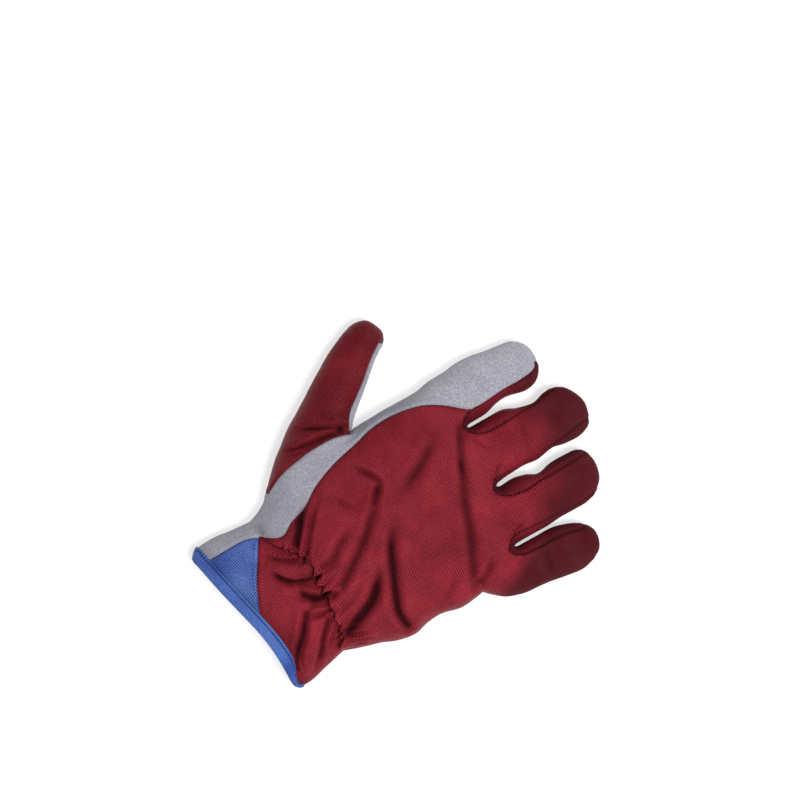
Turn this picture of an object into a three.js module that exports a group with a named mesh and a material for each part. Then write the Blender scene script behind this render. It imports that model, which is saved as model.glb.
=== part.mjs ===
// A right-hand work glove of synthetic leather, lying palm down.
//
// Millimetres, +Z up out of the back of the hand, +Y along the fingers and +X
// towards the little finger. The whole glove is first drawn as one closed skin
// that is open at the cuff: a top sheet, an underside and the side walls
// between them. Every face of that skin belongs to a sewn panel, and each panel
// is then given the thickness of its own material, so that the panels meet
// along their seams as cut pieces do.
import * as THREE from 'three';

// ---- Driving sizes -------------------------------------------------------
const WALL = 2.0; // thickness of every sewn panel
const SEAM_GAP = 0.19; // how far a panel stays back from each seam
const BAND = 7.4; // width of the folded cuff binding
const BINDING_WALL = 1.0; // thickness of each leg of the binding
const BINDING_CLEARANCE = 0.35; // play between the binding and the panels
const BINDING_NOSE = 1.5; // how far the fold stands past the panels' ends
const CUFF_LIFT = BINDING_CLEARANCE + BINDING_WALL; // the palm rests on the binding there
const CUFF_LIFT_REACH = 26; // how far up the hand the palm takes to come down again
const SECTION_POWER = 2.2; // 2 is an ellipse, more is boxier
const GATHER_HEIGHT = 1.25; // height of the pleats along the hidden elastic
const GATHER_REACH = 2.1; // rows over which the pleats fade out
const ELASTIC_DIP = 2.4; // how far the elastic draws the back down
const ELASTIC_REACH = 7; // half width of that dip
const MITRE_LIMIT = 1.6; // longest corner of an offset wall, in walls

// Rows of faces along the hand, from the cuff to the knuckles.
const ROWS = { band: 1, cuff: 6, wrist: 3, thumb: 9, knuckle: 7 };
const HAND_ROWS = ROWS.wrist + ROWS.thumb + ROWS.knuckle;
// Columns of faces over each piece.
const COLUMNS = { strip: 3, finger: 6, slit: 2, thumb: ROWS.thumb, vent: 6, edge: 1, cuffBack: 12 };
// The underside is flat, so it is drawn with fewer faces.
const UNDER = { band: 1, cuff: 4, wrist: 2, thumb: 6, knuckle: 5, finger: 4, slit: 2 };

const GREY = { color: 0xb0b0bc, roughness: 0.85, metalness: 0 };
const RED = { color: 0x8c2332, roughness: 0.8, metalness: 0 };
const LIGHT_BLUE = { color: 0x5a78c8, roughness: 0.75, metalness: 0 };
const BLUE = { color: 0x2d50b4, roughness: 0.75, metalness: 0 };

// ---- Outline of the lying glove, seen from above -------------------------
// Each run is a list of points of the silhouette, from one corner to the next.
const point = (x, y) => new THREE.Vector3(x, y, 0);
const run = (...pairs) => pairs.map(([x, y]) => point(x, y));

const OUTLINE = {
  cuff: run([-49, -8], [-39, -5.6], [-23, -2.6], [-5, 0.9], [11, 3.9], [27, 5.9], [43, 6], [52, 5.2], [57.4, 9]),
  radialCuff: run([-49, -8], [-53.4, -3], [-54, 7], [-52, 21], [-50.5, 35]),
  radialWrist: run([-50.5, 35], [-53, 43], [-57, 50], [-60.5, 53.5]),
  thumbSeam: run([-60.5, 53.5], [-64, 64], [-67, 77], [-68, 90], [-68, 102], [-67, 112], [-64.6, 119.6]),
  radialKnuckle: run([-65.8, 121.5], [-66, 140], [-65.5, 158], [-65, 170], [-66, 181]),
  ulnarCuff: run([57.4, 9], [57, 17], [55, 26], [53.5, 35], [52, 42]),
  ulnarHand: run([52, 42], [55, 50], [60, 65], [65, 77], [67, 88], [65, 98], [65, 108], [68.3, 121], [68.2, 130.5], [67.2, 138]),
  ventRadial: run([-43, 14], [-42.5, 26], [-39, 35]),
  ventUlnar: run([-15, 19], [-29, 28.5], [-39, 35]),
  stripSeam: run([-39, 35], [-34, 42], [-31.5, 49], [-36, 58], [-39.5, 70], [-47, 83], [-52.5, 98], [-57, 118],
    [-60.5, 136], [-60, 150], [-55.5, 168], [-48, 180], [-36, 193]),
  elastic: run([-39, 35], [-26, 44], [-16, 51.5], [-5, 54.2], [7, 53], [19, 52], [31, 50.6], [41, 47.6], [52, 42]),
  keystone: run([-60.5, 53.5], [-52.5, 66], [-48, 80], [-48.5, 95], [-53, 107], [-58, 113.5], [-63.4, 118.5]),
};

// The fingers and the thumb: silhouette from root to tip on the thumb side
// (outer), round the tip, and back to the root (inner). The seam columns say
// how far the back's seam lies inside the silhouette at root, middle and tip,
// and under says the same for the seam of the palm side.
const DIGITS = [
  {
    name: 'index', rows: 9, underRows: 6,
    outer: run([-66, 181], [-66, 190], [-67, 200], [-66, 212], [-63.5, 222], [-62, 232]),
    tip: run([-62, 232], [-60.5, 238], [-56, 243], [-50, 246], [-43, 246], [-36, 244.5]),
    inner: run([-36, 244.5], [-30, 239], [-28.2, 230], [-31, 216], [-30.5, 208], [-29, 200], [-29, 187.2]),
    seamOuter: { root: 2.2, middle: 2.2, tip: 2.2 }, seamInner: { root: 7, middle: 5.5, tip: 3.5 },
    underOuter: 2.4, underInner: 2.4,
  },
  {
    name: 'middle', rows: 10, underRows: 7,
    outer: run([-27, 187.2], [-26.6, 198], [-26, 211], [-22, 219], [-19, 230], [-20.8, 238], [-20.5, 245]),
    tip: run([-20.5, 245], [-17, 251.5], [-10, 256], [-2, 258], [5, 256.5], [12, 252]),
    inner: run([12, 252], [15, 244], [14, 233], [12.2, 225], [13.5, 213], [12, 204], [12.2, 193], [13, 183.4]),
    seamOuter: { root: 5.5, middle: 7, tip: 1.8 }, seamInner: { root: 3, middle: 3, tip: 3.4 },
    underOuter: 2.4, underInner: 2.4,
  },
  {
    name: 'ring', rows: 9, underRows: 6,
    outer: run([15, 183.4], [15, 192], [17.5, 201], [21, 208], [19.6, 218], [20, 230], [21, 237]),
    tip: run([21, 237], [25, 242], [32, 243.6], [40, 242.6], [46, 239.5], [51.5, 233]),
    inner: run([51.5, 233], [53.2, 225], [53, 214], [52.8, 204], [53, 194], [52.4, 184], [52, 172.4]),
    seamOuter: { root: 8.5, middle: 6.5, tip: 1.8 }, seamInner: { root: 4, middle: 4, tip: 3 },
    underOuter: 2.4, underInner: 2.4,
  },
  {
    name: 'little', rows: 8, underRows: 6,
    outer: run([54, 172.4], [54.6, 184], [55, 194], [56.5, 202], [60.5, 211]),
    tip: run([60.5, 211], [64.5, 216], [70, 219.6], [77, 219.4], [83, 216.5], [87, 210]),
    inner: run([87, 210], [88.4, 201], [86.5, 188], [83.6, 174], [81.6, 160], [77.2, 148.5], [72.4, 142.8], [67.2, 138]),
    seamOuter: { root: 5.5, middle: 5.5, tip: 3 }, seamInner: { root: 2.2, middle: 2.2, tip: 2.2 },
    underOuter: 2.4, underInner: 2.4,
  },
];

const THUMB = {
  name: 'thumb', rows: 10, underRows: 7,
  outer: run([-60.5, 53.5], [-68, 61.5], [-77, 72], [-87, 86], [-96, 101], [-105, 116], [-114, 133], [-121.5, 150]),
  tip: run([-121.5, 150], [-123, 158], [-120.5, 166.5], [-114, 170.5], [-108, 171.5], [-102, 168]),
  inner: run([-102, 168], [-94.5, 156.5], [-86, 146], [-79, 136.5], [-72, 127.5], [-65.8, 121.5]),
  seamOuter: { root: 1.6, middle: 2.4, tip: 2.2 }, seamInner: { root: 3.4, middle: 2.2, tip: 2 },
  underOuter: 5.5, underInner: 2.4,
};

// Roots of the three slits between the fingers: where the back's seam turns
// round each, and where the palm side's seam does.
const SLITS = [
  { back: run([-36, 193], [-29, 183.4], [-21.8, 188]), under: run([-32.6, 190], [-28, 181], [-23.4, 190]) },
  { back: run([9.8, 185], [16, 178.6], [23.6, 186.5]), under: run([9.4, 186], [14, 177.2], [18.6, 186]) },
  { back: run([47.6, 174], [53.4, 166.6], [59.4, 173.5]), under: run([48.4, 175], [53, 166.2], [57.6, 175]) },
];

// ---- Heights -------------------------------------------------------------
// crown is the top of the glove over that place, middle the height of its
// widest line, round how far in from the edge the top is reached, flat the same
// for the underside, and reach the distance over which the row counts.
const STATIONS = [
  { x: -25, y: 0, crown: 21, middle: 7.5, round: 40, flat: 15, reach: 20 },
  { x: 30, y: 8, crown: 21.5, middle: 7.5, round: 40, flat: 15, reach: 20 },
  { x: -20, y: 48, crown: 22, middle: 8, round: 28, flat: 12, reach: 18 },
  { x: 25, y: 48, crown: 21, middle: 7.5, round: 30, flat: 12, reach: 18 },
  { x: -30, y: 95, crown: 28, middle: 9, round: 26, flat: 11, reach: 22 },
  { x: 25, y: 92, crown: 26, middle: 9, round: 26, flat: 11, reach: 22 },
  { x: -35, y: 145, crown: 25.5, middle: 8.6, round: 21, flat: 9, reach: 20 },
  { x: 5, y: 142, crown: 24.5, middle: 8.6, round: 21, flat: 9, reach: 20 },
  { x: 45, y: 130, crown: 22.5, middle: 8.4, round: 20, flat: 9, reach: 18 },
  { x: -49, y: 190, crown: 20.5, middle: 8.2, round: 16, flat: 7, reach: 11 },
  { x: -49, y: 216, crown: 18.5, middle: 7.8, round: 15.5, flat: 7, reach: 11 },
  { x: -48, y: 238, crown: 16.5, middle: 7.2, round: 14.5, flat: 7, reach: 9 },
  { x: -7, y: 196, crown: 20.5, middle: 8.2, round: 17, flat: 7, reach: 11 },
  { x: -5, y: 224, crown: 18.8, middle: 7.8, round: 16, flat: 7, reach: 11 },
  { x: -3, y: 248, crown: 16.5, middle: 7.2, round: 15, flat: 7, reach: 9 },
  { x: 33, y: 188, crown: 20, middle: 8.2, round: 17, flat: 7, reach: 11 },
  { x: 36, y: 212, crown: 18.2, middle: 7.6, round: 16, flat: 7, reach: 11 },
  { x: 37, y: 234, crown: 16, middle: 7, round: 14.5, flat: 7, reach: 9 },
  { x: 68, y: 166, crown: 19, middle: 7.8, round: 15, flat: 7, reach: 11 },
  { x: 71, y: 190, crown: 17.5, middle: 7.4, round: 14.5, flat: 7, reach: 11 },
  { x: 74, y: 210, crown: 15.5, middle: 6.8, round: 13.5, flat: 7, reach: 9 },
  { x: -74, y: 92, crown: 26, middle: 9, round: 20, flat: 9, reach: 13 },
  { x: -90, y: 122, crown: 22.5, middle: 8.4, round: 18, flat: 8, reach: 13 },
  { x: -111, y: 156, crown: 18, middle: 7.4, round: 14.5, flat: 7, reach: 11 },
];

// Folds of the back: valleys along a line, with their depth in the middle and
// their half width. A negative depth is a ridge.
const FOLDS = [
  { name: 'thumb root to middle of the hand', depth: 2.4, half: 6, line: run([-42, 114], [-27, 117], [-15, 106], [-3, 89], [8, 70], [13, 62]) },
  { name: 'middle of the hand', depth: 3.6, half: 4.2, line: run([18, 91], [30, 78], [38, 62], [40, 53]) },
  { name: 'across to the outer edge', depth: 4, half: 4.8, line: run([-3, 113], [20, 101], [37, 91], [52, 87], [64, 90]) },
  { name: 'below the knuckles', depth: 3.4, half: 5.2, line: run([-27, 179], [-15, 171], [-1, 165], [28, 151], [55, 138], [64, 134]) },
  { name: 'little finger root', depth: 3, half: 4.2, line: run([53, 155], [58, 146], [65, 137]) },
  { name: 'index knuckle', depth: 1, half: 5, line: run([-29, 160], [-22, 147]) },
  { name: 'outer knuckle', depth: 1.2, half: 5, line: run([47, 130], [60, 116]) },
  { name: 'edge pucker low', depth: 1.8, half: 3.6, line: run([42, 50], [50, 62]) },
  { name: 'cuff fan 1', depth: 1.8, half: 3.6, line: run([-17, 32], [-3, 41], [1, 52]) },
  { name: 'cuff fan 2', depth: 1.8, half: 3.6, line: run([2, 40], [11, 46], [13, 54]) },
  { name: 'cuff fan 3', depth: 2, half: 3.6, line: run([12, 40], [32, 24], [42, 14]) },
  { name: 'cuff fan 4', depth: 2, half: 3.6, line: run([24, 46], [39, 34], [51, 20]) },
  { name: 'cuff fan 5', depth: 1.6, half: 3.4, line: run([33, 48], [43, 41], [49, 31]) },
  { name: 'beside the strip 1', depth: 1.5, half: 3.8, line: run([-38, 67], [-29, 58], [-20, 50]) },
  { name: 'beside the strip 2', depth: 1.5, half: 3.8, line: run([-29, 70], [-10, 54]) },
  { name: 'strip dent', depth: 2.2, half: 4, line: run([-50, 35], [-37, 38]) },
  { name: 'thumb knuckle 1', depth: 1.5, half: 4, line: run([-84, 96], [-78, 107], [-69, 119]) },
  { name: 'thumb knuckle 2', depth: 1.8, half: 4, line: run([-78, 80], [-75, 96], [-70, 114]) },
  { name: 'index back', depth: 1.1, half: 4, line: run([-62, 205], [-38, 209]) },
  { name: 'middle back', depth: 1.1, half: 4, line: run([-20, 215], [8, 210]) },
  { name: 'ring back', depth: 1.1, half: 4, line: run([22, 208], [49, 203]) },
  { name: 'little back', depth: 1, half: 4, line: run([58, 186], [84, 181]) },
];

// ---- Small helpers -------------------------------------------------------

/** Points spread evenly along a smooth curve through the given points. */
function spread(points, segments) {
  const curve = new THREE.CatmullRomCurve3(points, false, 'centripetal');
  curve.arcLengthDivisions = 400;
  return curve.getSpacedPoints(segments);
}

/** Straight row of points between two corners. */
function straight(a, b, segments) {
  return Array.from({ length: segments + 1 }, (_, i) => a.clone().lerp(b, i / segments));
}

/** Distance in plan from (x, y) to a polyline, and how far along it, from 0 to 1. */
function toLine(x, y, line) {
  let best = Infinity;
  let along = 0;
  for (let i = 0; i + 1 < line.length; i += 1) {
    const [a, b] = [line[i], line[i + 1]];
    const [dx, dy] = [b.x - a.x, b.y - a.y];
    const t = THREE.MathUtils.clamp(((x - a.x) * dx + (y - a.y) * dy) / (dx * dx + dy * dy || 1), 0, 1);
    const distance = Math.hypot(x - a.x - t * dx, y - a.y - t * dy);
    if (distance < best) {
      best = distance;
      along = (i + t) / (line.length - 1);
    }
  }
  return { distance: best, along };
}

/** Height share of a rounded section, 0 at its edge and 1 from reach inwards. */
function rounded(distance, reach) {
  const t = 1 - THREE.MathUtils.clamp(distance / reach, 0, 1);
  return (1 - t ** SECTION_POWER) ** (1 / SECTION_POWER);
}

/** The reverse of rounded: how far in from the edge a height share is reached. */
function insetOf(share, reach) {
  return reach * (1 - (1 - share ** SECTION_POWER) ** (1 / SECTION_POWER));
}

/** Value between the root, middle and tip of a seam, t from 0 to 1. */
function seamInset(seam, t) {
  return t < 0.5
    ? THREE.MathUtils.lerp(seam.root, seam.middle, t * 2)
    : THREE.MathUtils.lerp(seam.middle, seam.tip, t * 2 - 1);
}

// ---- Silhouette ----------------------------------------------------------
const silhouette = [];
for (const piece of [OUTLINE.radialCuff, OUTLINE.radialWrist, THUMB.outer, THUMB.tip, THUMB.inner, OUTLINE.radialKnuckle]) {
  silhouette.push(...spread(piece, 40));
}
DIGITS.forEach((digit) => {
  for (const piece of [digit.outer, digit.tip, digit.inner]) silhouette.push(...spread(piece, 40));
});
silhouette.push(...spread([...OUTLINE.ulnarHand].reverse(), 60), ...spread([...OUTLINE.ulnarCuff].reverse(), 20));

/** The blended station values at a place. */
function station(x, y) {
  const sum = { crown: 0, middle: 0, round: 0, flat: 0 };
  let total = 0;
  for (const row of STATIONS) {
    const weight = Math.exp(-((x - row.x) ** 2 + (y - row.y) ** 2) / (2 * row.reach ** 2)) + 1e-9;
    total += weight;
    for (const key of Object.keys(sum)) sum[key] += weight * row[key];
  }
  for (const key of Object.keys(sum)) sum[key] /= total;
  return sum;
}

const elasticLine = spread(OUTLINE.elastic, 40);

/** Height of the top sheet over (x, y). */
function topHeight(x, y) {
  const place = station(x, y);
  const { distance } = toLine(x, y, silhouette);
  let z = place.middle + (place.crown - place.middle) * rounded(distance, place.round);
  const room = THREE.MathUtils.smoothstep(distance, 1.5, 9);
  let drop = 0;
  for (const fold of FOLDS) {
    const hit = toLine(x, y, fold.line);
    if (hit.distance > fold.half * 3) continue;
    const ends = Math.min(1, 3.5 * Math.min(hit.along, 1 - hit.along) + 0.35);
    drop += fold.depth * ends * Math.exp(-((hit.distance / fold.half) ** 2));
  }
  const elastic = toLine(x, y, elasticLine).distance;
  if (x > -38) drop += ELASTIC_DIP * Math.exp(-((elastic / ELASTIC_REACH) ** 2));
  return z - drop * room;
}

/** Height of the underside below (x, y): flat but for its rounded rim. */
function underHeight(x, y) {
  const place = station(x, y);
  const { distance } = toLine(x, y, silhouette);
  const fromCuff = toLine(x, y, OUTLINE.cuff).distance - BAND;
  const lift = CUFF_LIFT * (1 - THREE.MathUtils.smoothstep(fromCuff, 0, CUFF_LIFT_REACH));
  return lift + (place.middle - lift) * (1 - rounded(distance, place.flat));
}

// ---- One skin over the whole glove ---------------------------------------
const vertices = [];
const faces = []; // { a, b, c, panel }

/** Adds one vertex and returns its number. */
function vertex(x, y, z) {
  return vertices.push(new THREE.Vector3(x, y, z)) - 1;
}

/** Adds a triangle, leaving out one that has collapsed to a line. */
function triangle(a, b, c, panel) {
  if (a !== b && b !== c && a !== c) faces.push({ a, b, c, panel });
}

/** Adds a four-sided face, split along its shorter diagonal. */
function quad(a, b, c, d, panel) {
  const [p, q, r, s] = [a, b, c, d].map((i) => vertices[i]);
  if (p.distanceToSquared(r) <= q.distanceToSquared(s)) {
    triangle(a, b, c, panel);
    triangle(a, c, d, panel);
  } else {
    triangle(a, b, d, panel);
    triangle(b, c, d, panel);
  }
}

/** Joins two rows of vertices that run the same way but may differ in number. */
function zip(lower, upper, panel) {
  if (lower.length === upper.length) {
    for (let k = 0; k + 1 < lower.length; k += 1) quad(lower[k], lower[k + 1], upper[k + 1], upper[k], panel);
    return;
  }
  let [i, j] = [0, 0];
  while (i < lower.length - 1 || j < upper.length - 1) {
    const nextLower = (i + 1) / (lower.length - 1 || 1);
    const nextUpper = (j + 1) / (upper.length - 1 || 1);
    if (j >= upper.length - 1 || (i < lower.length - 1 && nextLower <= nextUpper + 1e-9)) {
      triangle(lower[i], lower[i + 1], upper[j], panel);
      i += 1;
    } else {
      triangle(lower[i], upper[j + 1], upper[j], panel);
      j += 1;
    }
  }
}

/** Plan points of a patch drawn between its four edges. */
function coons(bottom, top, left, right) {
  const [columns, rows] = [bottom.length - 1, left.length - 1];
  const grid = [];
  for (let i = 0; i <= rows; i += 1) {
    const v = i / rows;
    grid.push([]);
    for (let j = 0; j <= columns; j += 1) {
      const u = j / columns;
      const across = left[i].clone().lerp(right[i], u);
      const along = bottom[j].clone().lerp(top[j], v);
      const corners = bottom[0].clone().lerp(bottom[columns], u).lerp(top[0].clone().lerp(top[columns], u), v);
      grid[i].push(across.add(along).sub(corners));
    }
  }
  return grid;
}

/** Evens out the inside of a patch by moving each point to its neighbours' middle. */
function relax(grid, rounds) {
  for (let round = 0; round < rounds; round += 1) {
    for (let i = 1; i + 1 < grid.length; i += 1) {
      for (let j = 1; j + 1 < grid[i].length; j += 1) {
        grid[i][j] = grid[i - 1][j].clone().add(grid[i + 1][j]).add(grid[i][j - 1]).add(grid[i][j + 1]).multiplyScalar(0.25);
      }
    }
  }
}

/**
 * Fills a patch with vertices and faces. The numbers of vertices that the edges
 * already have are given; a missing edge gets vertices of its own.
 */
function patch(edges, height, panel, shape = {}) {
  const at = (ids) => ids.map((i) => vertices[i]);
  const points = {
    bottom: edges.bottom ? at(edges.bottom) : shape.bottom,
    top: edges.top ? at(edges.top) : shape.top,
    left: edges.left ? at(edges.left) : shape.left,
    right: edges.right ? at(edges.right) : shape.right,
  };
  const grid = coons(points.bottom, points.top, points.left, points.right);
  relax(grid, shape.relax ?? 0);
  const [rows, columns] = [grid.length - 1, grid[0].length - 1];
  const ids = grid.map((row, i) => row.map((p, j) => {
    if (i === 0 && edges.bottom) return edges.bottom[j];
    if (i === rows && edges.top) return edges.top[j];
    if (j === 0 && edges.left) return edges.left[i];
    if (j === columns && edges.right) return edges.right[i];
    return vertex(p.x, p.y, height(p.x, p.y, i, j));
  }));
  for (let i = 0; i < rows; i += 1) {
    for (let j = 0; j < columns; j += 1) {
      if (shape.turned) quad(ids[i][j], ids[i + 1][j], ids[i + 1][j + 1], ids[i][j + 1], panel);
      else quad(ids[i][j], ids[i][j + 1], ids[i + 1][j + 1], ids[i + 1][j], panel);
    }
  }
  return ids;
}

/** Outward normals, in plan, of a run of silhouette points walked clockwise. */
function outwards(points) {
  return points.map((_, i) => {
    const a = points[Math.max(i - 1, 0)];
    const b = points[Math.min(i + 1, points.length - 1)];
    const d = b.clone().sub(a).normalize();
    return new THREE.Vector3(-d.y, d.x, 0);
  });
}

/**
 * One run of the side wall. The silhouette is walked with the glove on the
 * right hand side. Returns the vertex rows from the back's seam down.
 */
function wallRun(points, segments, underSegments, back, under, ends) {
  const outline = spread(points, segments);
  const out = outwards(outline);
  const top = outline.map((p, i) => {
    if (i === 0 && ends.start) return ends.start.top;
    if (i === segments && ends.end) return ends.end.top;
    const inset = back(i / segments);
    const [x, y] = [p.x - out[i].x * inset, p.y - out[i].y * inset];
    return vertex(x, y, topHeight(x, y));
  });
  const ring = (share, fallback, above) => outline.map((p, i) => {
    if (i === 0 && ends.start) return ends.start[fallback];
    if (i === segments && ends.end) return ends.end[fallback];
    const place = station(p.x, p.y);
    const seam = vertices[top[i]];
    const crown = above ? topHeight(p.x - out[i].x * place.round, p.y - out[i].y * place.round) : place.middle;
    const z = above ? place.middle + (seam.z - place.middle) * share : place.middle * (1 - share);
    const inset = above
      ? insetOf(THREE.MathUtils.clamp((z - place.middle) / (Math.max(crown, place.crown) - place.middle), 0, 0.9), place.round)
      : insetOf(share, place.flat);
    return vertex(p.x - out[i].x * inset, p.y - out[i].y * inset, z);
  });
  const upper = ring(0.5, 'upper', true);
  const lower = ring(0.35, 'lower', false);
  const underOutline = spread(points, underSegments);
  const underOut = outwards(underOutline);
  const bottom = underOutline.map((p, i) => {
    if (i === 0 && ends.start) return ends.start.bottom;
    if (i === underSegments && ends.end) return ends.end.bottom;
    const [x, y] = [p.x - underOut[i].x * under, p.y - underOut[i].y * under];
    return vertex(x, y, underHeight(x, y));
  });
  return { top, upper, lower, bottom };
}

/** The faces of a run of side wall, in one panel. */
function wallFaces({ top, upper, lower, bottom }, panel) {
  for (let i = 0; i + 1 < top.length; i += 1) {
    quad(top[i], top[i + 1], upper[i + 1], upper[i], panel);
    quad(upper[i], upper[i + 1], lower[i + 1], lower[i], panel);
  }
  zip(lower, bottom, panel);
}

/** The upright line of vertices of a corner between two runs. */
function corner(p, out, back, under) {
  const place = station(p.x, p.y);
  const put = (inset, height) => {
    const [x, y] = [p.x - out.x * inset, p.y - out.y * inset];
    return vertex(x, y, typeof height === 'number' ? height : height(x, y));
  };
  const top = put(back, topHeight);
  const rise = vertices[top].z - place.middle;
  return {
    top,
    upper: put(insetOf(Math.min(0.9, (0.5 * rise) / (place.crown - place.middle)), place.round), place.middle + 0.5 * rise),
    lower: put(insetOf(0.35, place.flat), place.middle * 0.65),
    bottom: put(under, underHeight),
  };
}

/** A corner whose seam points are given instead of measured from the edge. */
function slitCorner(p, backPoint, underPoint) {
  const place = station(p.x, p.y);
  const top = vertex(backPoint.x, backPoint.y, topHeight(backPoint.x, backPoint.y));
  const z = THREE.MathUtils.lerp(place.middle, vertices[top].z, 0.5);
  const near = p.clone().lerp(backPoint, 0.16);
  const low = p.clone().lerp(underPoint, 0.08);
  return {
    top,
    upper: vertex(near.x, near.y, z),
    lower: vertex(low.x, low.y, place.middle * 0.65),
    bottom: vertex(underPoint.x, underPoint.y, underHeight(underPoint.x, underPoint.y)),
  };
}

/** The outward direction where two runs meet. */
function between(before, after) {
  const a = spread(before, 30);
  const b = spread(after, 30);
  const d = a[30].clone().sub(a[28]).normalize().add(b[2].clone().sub(b[0]).normalize()).normalize();
  return new THREE.Vector3(-d.y, d.x, 0);
}

// Corners, walked from the cuff's thumb side, round the fingers, to its far side.
const SIDE = 2.2;
const UNDER_SIDE = 2.6;
const flip = (points) => [...points].reverse();
const cuffStart = corner(OUTLINE.radialCuff[0], new THREE.Vector3(-0.97, -0.1, 0).normalize(), SIDE, UNDER_SIDE);
const bandEnd = spread(OUTLINE.radialCuff, 60);
const bandIndex = Math.round((60 * BAND) / bandEnd.reduce((s, p, i) => (i ? s + p.distanceTo(bandEnd[i - 1]) : 0), 0));
const radialBand = bandEnd.slice(0, bandIndex + 1);
const radialRest = bandEnd.slice(bandIndex);
const ulnarAll = spread(flip(OUTLINE.ulnarCuff), 60);
const ulnarIndex = 60 - Math.round((60 * BAND) / ulnarAll.reduce((s, p, i) => (i ? s + p.distanceTo(ulnarAll[i - 1]) : 0), 0));
const ulnarRest = ulnarAll.slice(0, ulnarIndex + 1);
const ulnarBand = ulnarAll.slice(ulnarIndex);

const cornerAt = {
  radialBand: corner(radialRest[0], outwards(radialRest.slice(0, 3))[1], SIDE, UNDER_SIDE),
  radialElastic: corner(OUTLINE.radialCuff.at(-1), between(OUTLINE.radialCuff, OUTLINE.radialWrist), SIDE, UNDER_SIDE),
  wrist: corner(OUTLINE.radialWrist.at(-1), between(OUTLINE.radialWrist, THUMB.outer), 1.6, 3),
  thumbOuter: corner(THUMB.tip[0], between(THUMB.outer, THUMB.tip), 2.2, 4),
  thumbInner: corner(THUMB.tip.at(-1), between(THUMB.tip, THUMB.inner), 2, 2.4),
  thumbRoot: corner(THUMB.inner.at(-1), new THREE.Vector3(-0.62, 0.78, 0).normalize(), 2.4, 3.8),
  indexRoot: corner(OUTLINE.radialKnuckle.at(-1), between(OUTLINE.radialKnuckle, DIGITS[0].outer), SIDE, UNDER_SIDE),
  littleRoot: corner(DIGITS[3].inner.at(-1), between(DIGITS[3].inner, flip(OUTLINE.ulnarHand)), SIDE, 3.4),
  ulnarElastic: corner(OUTLINE.ulnarCuff.at(-1), between(flip(OUTLINE.ulnarHand), flip(OUTLINE.ulnarCuff)), SIDE, UNDER_SIDE),
  ulnarBand: corner(ulnarBand[0], outwards(ulnarBand.slice(0, 3))[1], SIDE, UNDER_SIDE),
  ulnarCuff: corner(OUTLINE.cuff.at(-1), new THREE.Vector3(0.97, -0.25, 0).normalize(), SIDE, UNDER_SIDE),
};
DIGITS.forEach((digit) => {
  cornerAt[`${digit.name}Outer`] = corner(digit.tip[0], between(digit.outer, digit.tip), digit.seamOuter.tip, digit.underOuter);
  cornerAt[`${digit.name}Inner`] = corner(digit.tip.at(-1), between(digit.tip, digit.inner), digit.seamInner.tip, digit.underInner);
});
const slitCorners = SLITS.map((slit, i) => {
  const [before, after] = [DIGITS[i].inner.at(-1), DIGITS[i + 1].outer[0]];
  const middle = before.clone().lerp(after, 0.5);
  middle.y -= 1.6;
  return [before, middle, after].map((p, k) => slitCorner(p, slit.back[k], slit.under[k]));
});

// ---- Side walls ----------------------------------------------------------
const even = (value) => () => value;
const graded = (seam, reversed = false) => (t) => seamInset(seam, reversed ? 1 - t : t);
const walls = {};

/** Builds one named run of wall between two corners. */
function wall(name, points, segments, underSegments, back, under, start, end, panel) {
  walls[name] = wallRun(points, segments, underSegments, back, under, { start, end });
  wallFaces(walls[name], panel);
}

wall('radialBand', radialBand, ROWS.band, UNDER.band, even(SIDE), UNDER_SIDE, cuffStart, cornerAt.radialBand, 'palm_panel');
wall('radialCuff', radialRest, ROWS.cuff, UNDER.cuff, even(SIDE), UNDER_SIDE, cornerAt.radialBand, cornerAt.radialElastic, 'palm_panel');
wall('radialWrist', OUTLINE.radialWrist, ROWS.wrist, UNDER.wrist, even(1.9), 2.8, cornerAt.radialElastic, cornerAt.wrist, 'palm_panel');
wall('thumbOuter', THUMB.outer, THUMB.rows, THUMB.underRows, graded(THUMB.seamOuter), THUMB.underOuter, cornerAt.wrist, cornerAt.thumbOuter, 'thumb_back');
wall('thumbTip', THUMB.tip, COLUMNS.thumb, UNDER.thumb, even(2.2), 3.2, cornerAt.thumbOuter, cornerAt.thumbInner, 'thumb_back');
wall('thumbInner', THUMB.inner, THUMB.rows, THUMB.underRows, graded(THUMB.seamInner, true), THUMB.underInner, cornerAt.thumbInner, cornerAt.thumbRoot, 'thumb_front');
wall('radialKnuckle', OUTLINE.radialKnuckle, ROWS.knuckle, UNDER.knuckle, even(SIDE), UNDER_SIDE, cornerAt.thumbRoot, cornerAt.indexRoot, 'palm_panel');

const FOURCHETTES = ['fourchette_index_middle', 'fourchette_middle_ring', 'fourchette_ring_little'];
DIGITS.forEach((digit, i) => {
  const start = i === 0 ? cornerAt.indexRoot : slitCorners[i - 1][2];
  const end = i === 3 ? cornerAt.littleRoot : slitCorners[i][0];
  const outerPanel = i === 0 ? 'palm_panel' : FOURCHETTES[i - 1];
  const innerPanel = i === 3 ? 'back_panel' : FOURCHETTES[i];
  const [tipStart, tipEnd] = [cornerAt[`${digit.name}Outer`], cornerAt[`${digit.name}Inner`]];
  wall(`${digit.name}Outer`, digit.outer, digit.rows, digit.underRows, graded(digit.seamOuter), digit.underOuter, start, tipStart, outerPanel);
  wall(`${digit.name}Tip`, digit.tip, COLUMNS.finger, UNDER.finger, even(2.6), 2.4, tipStart, tipEnd, i === 0 ? 'palm_panel' : 'back_panel');
  wall(`${digit.name}Inner`, digit.inner, digit.rows, digit.underRows, graded(digit.seamInner, true), digit.underInner, tipEnd, end, innerPanel);
});
wall('ulnarHand', flip(OUTLINE.ulnarHand), HAND_ROWS, UNDER.wrist + UNDER.thumb + UNDER.knuckle, even(SIDE), UNDER_SIDE, cornerAt.littleRoot, cornerAt.ulnarElastic, 'back_panel');
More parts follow.
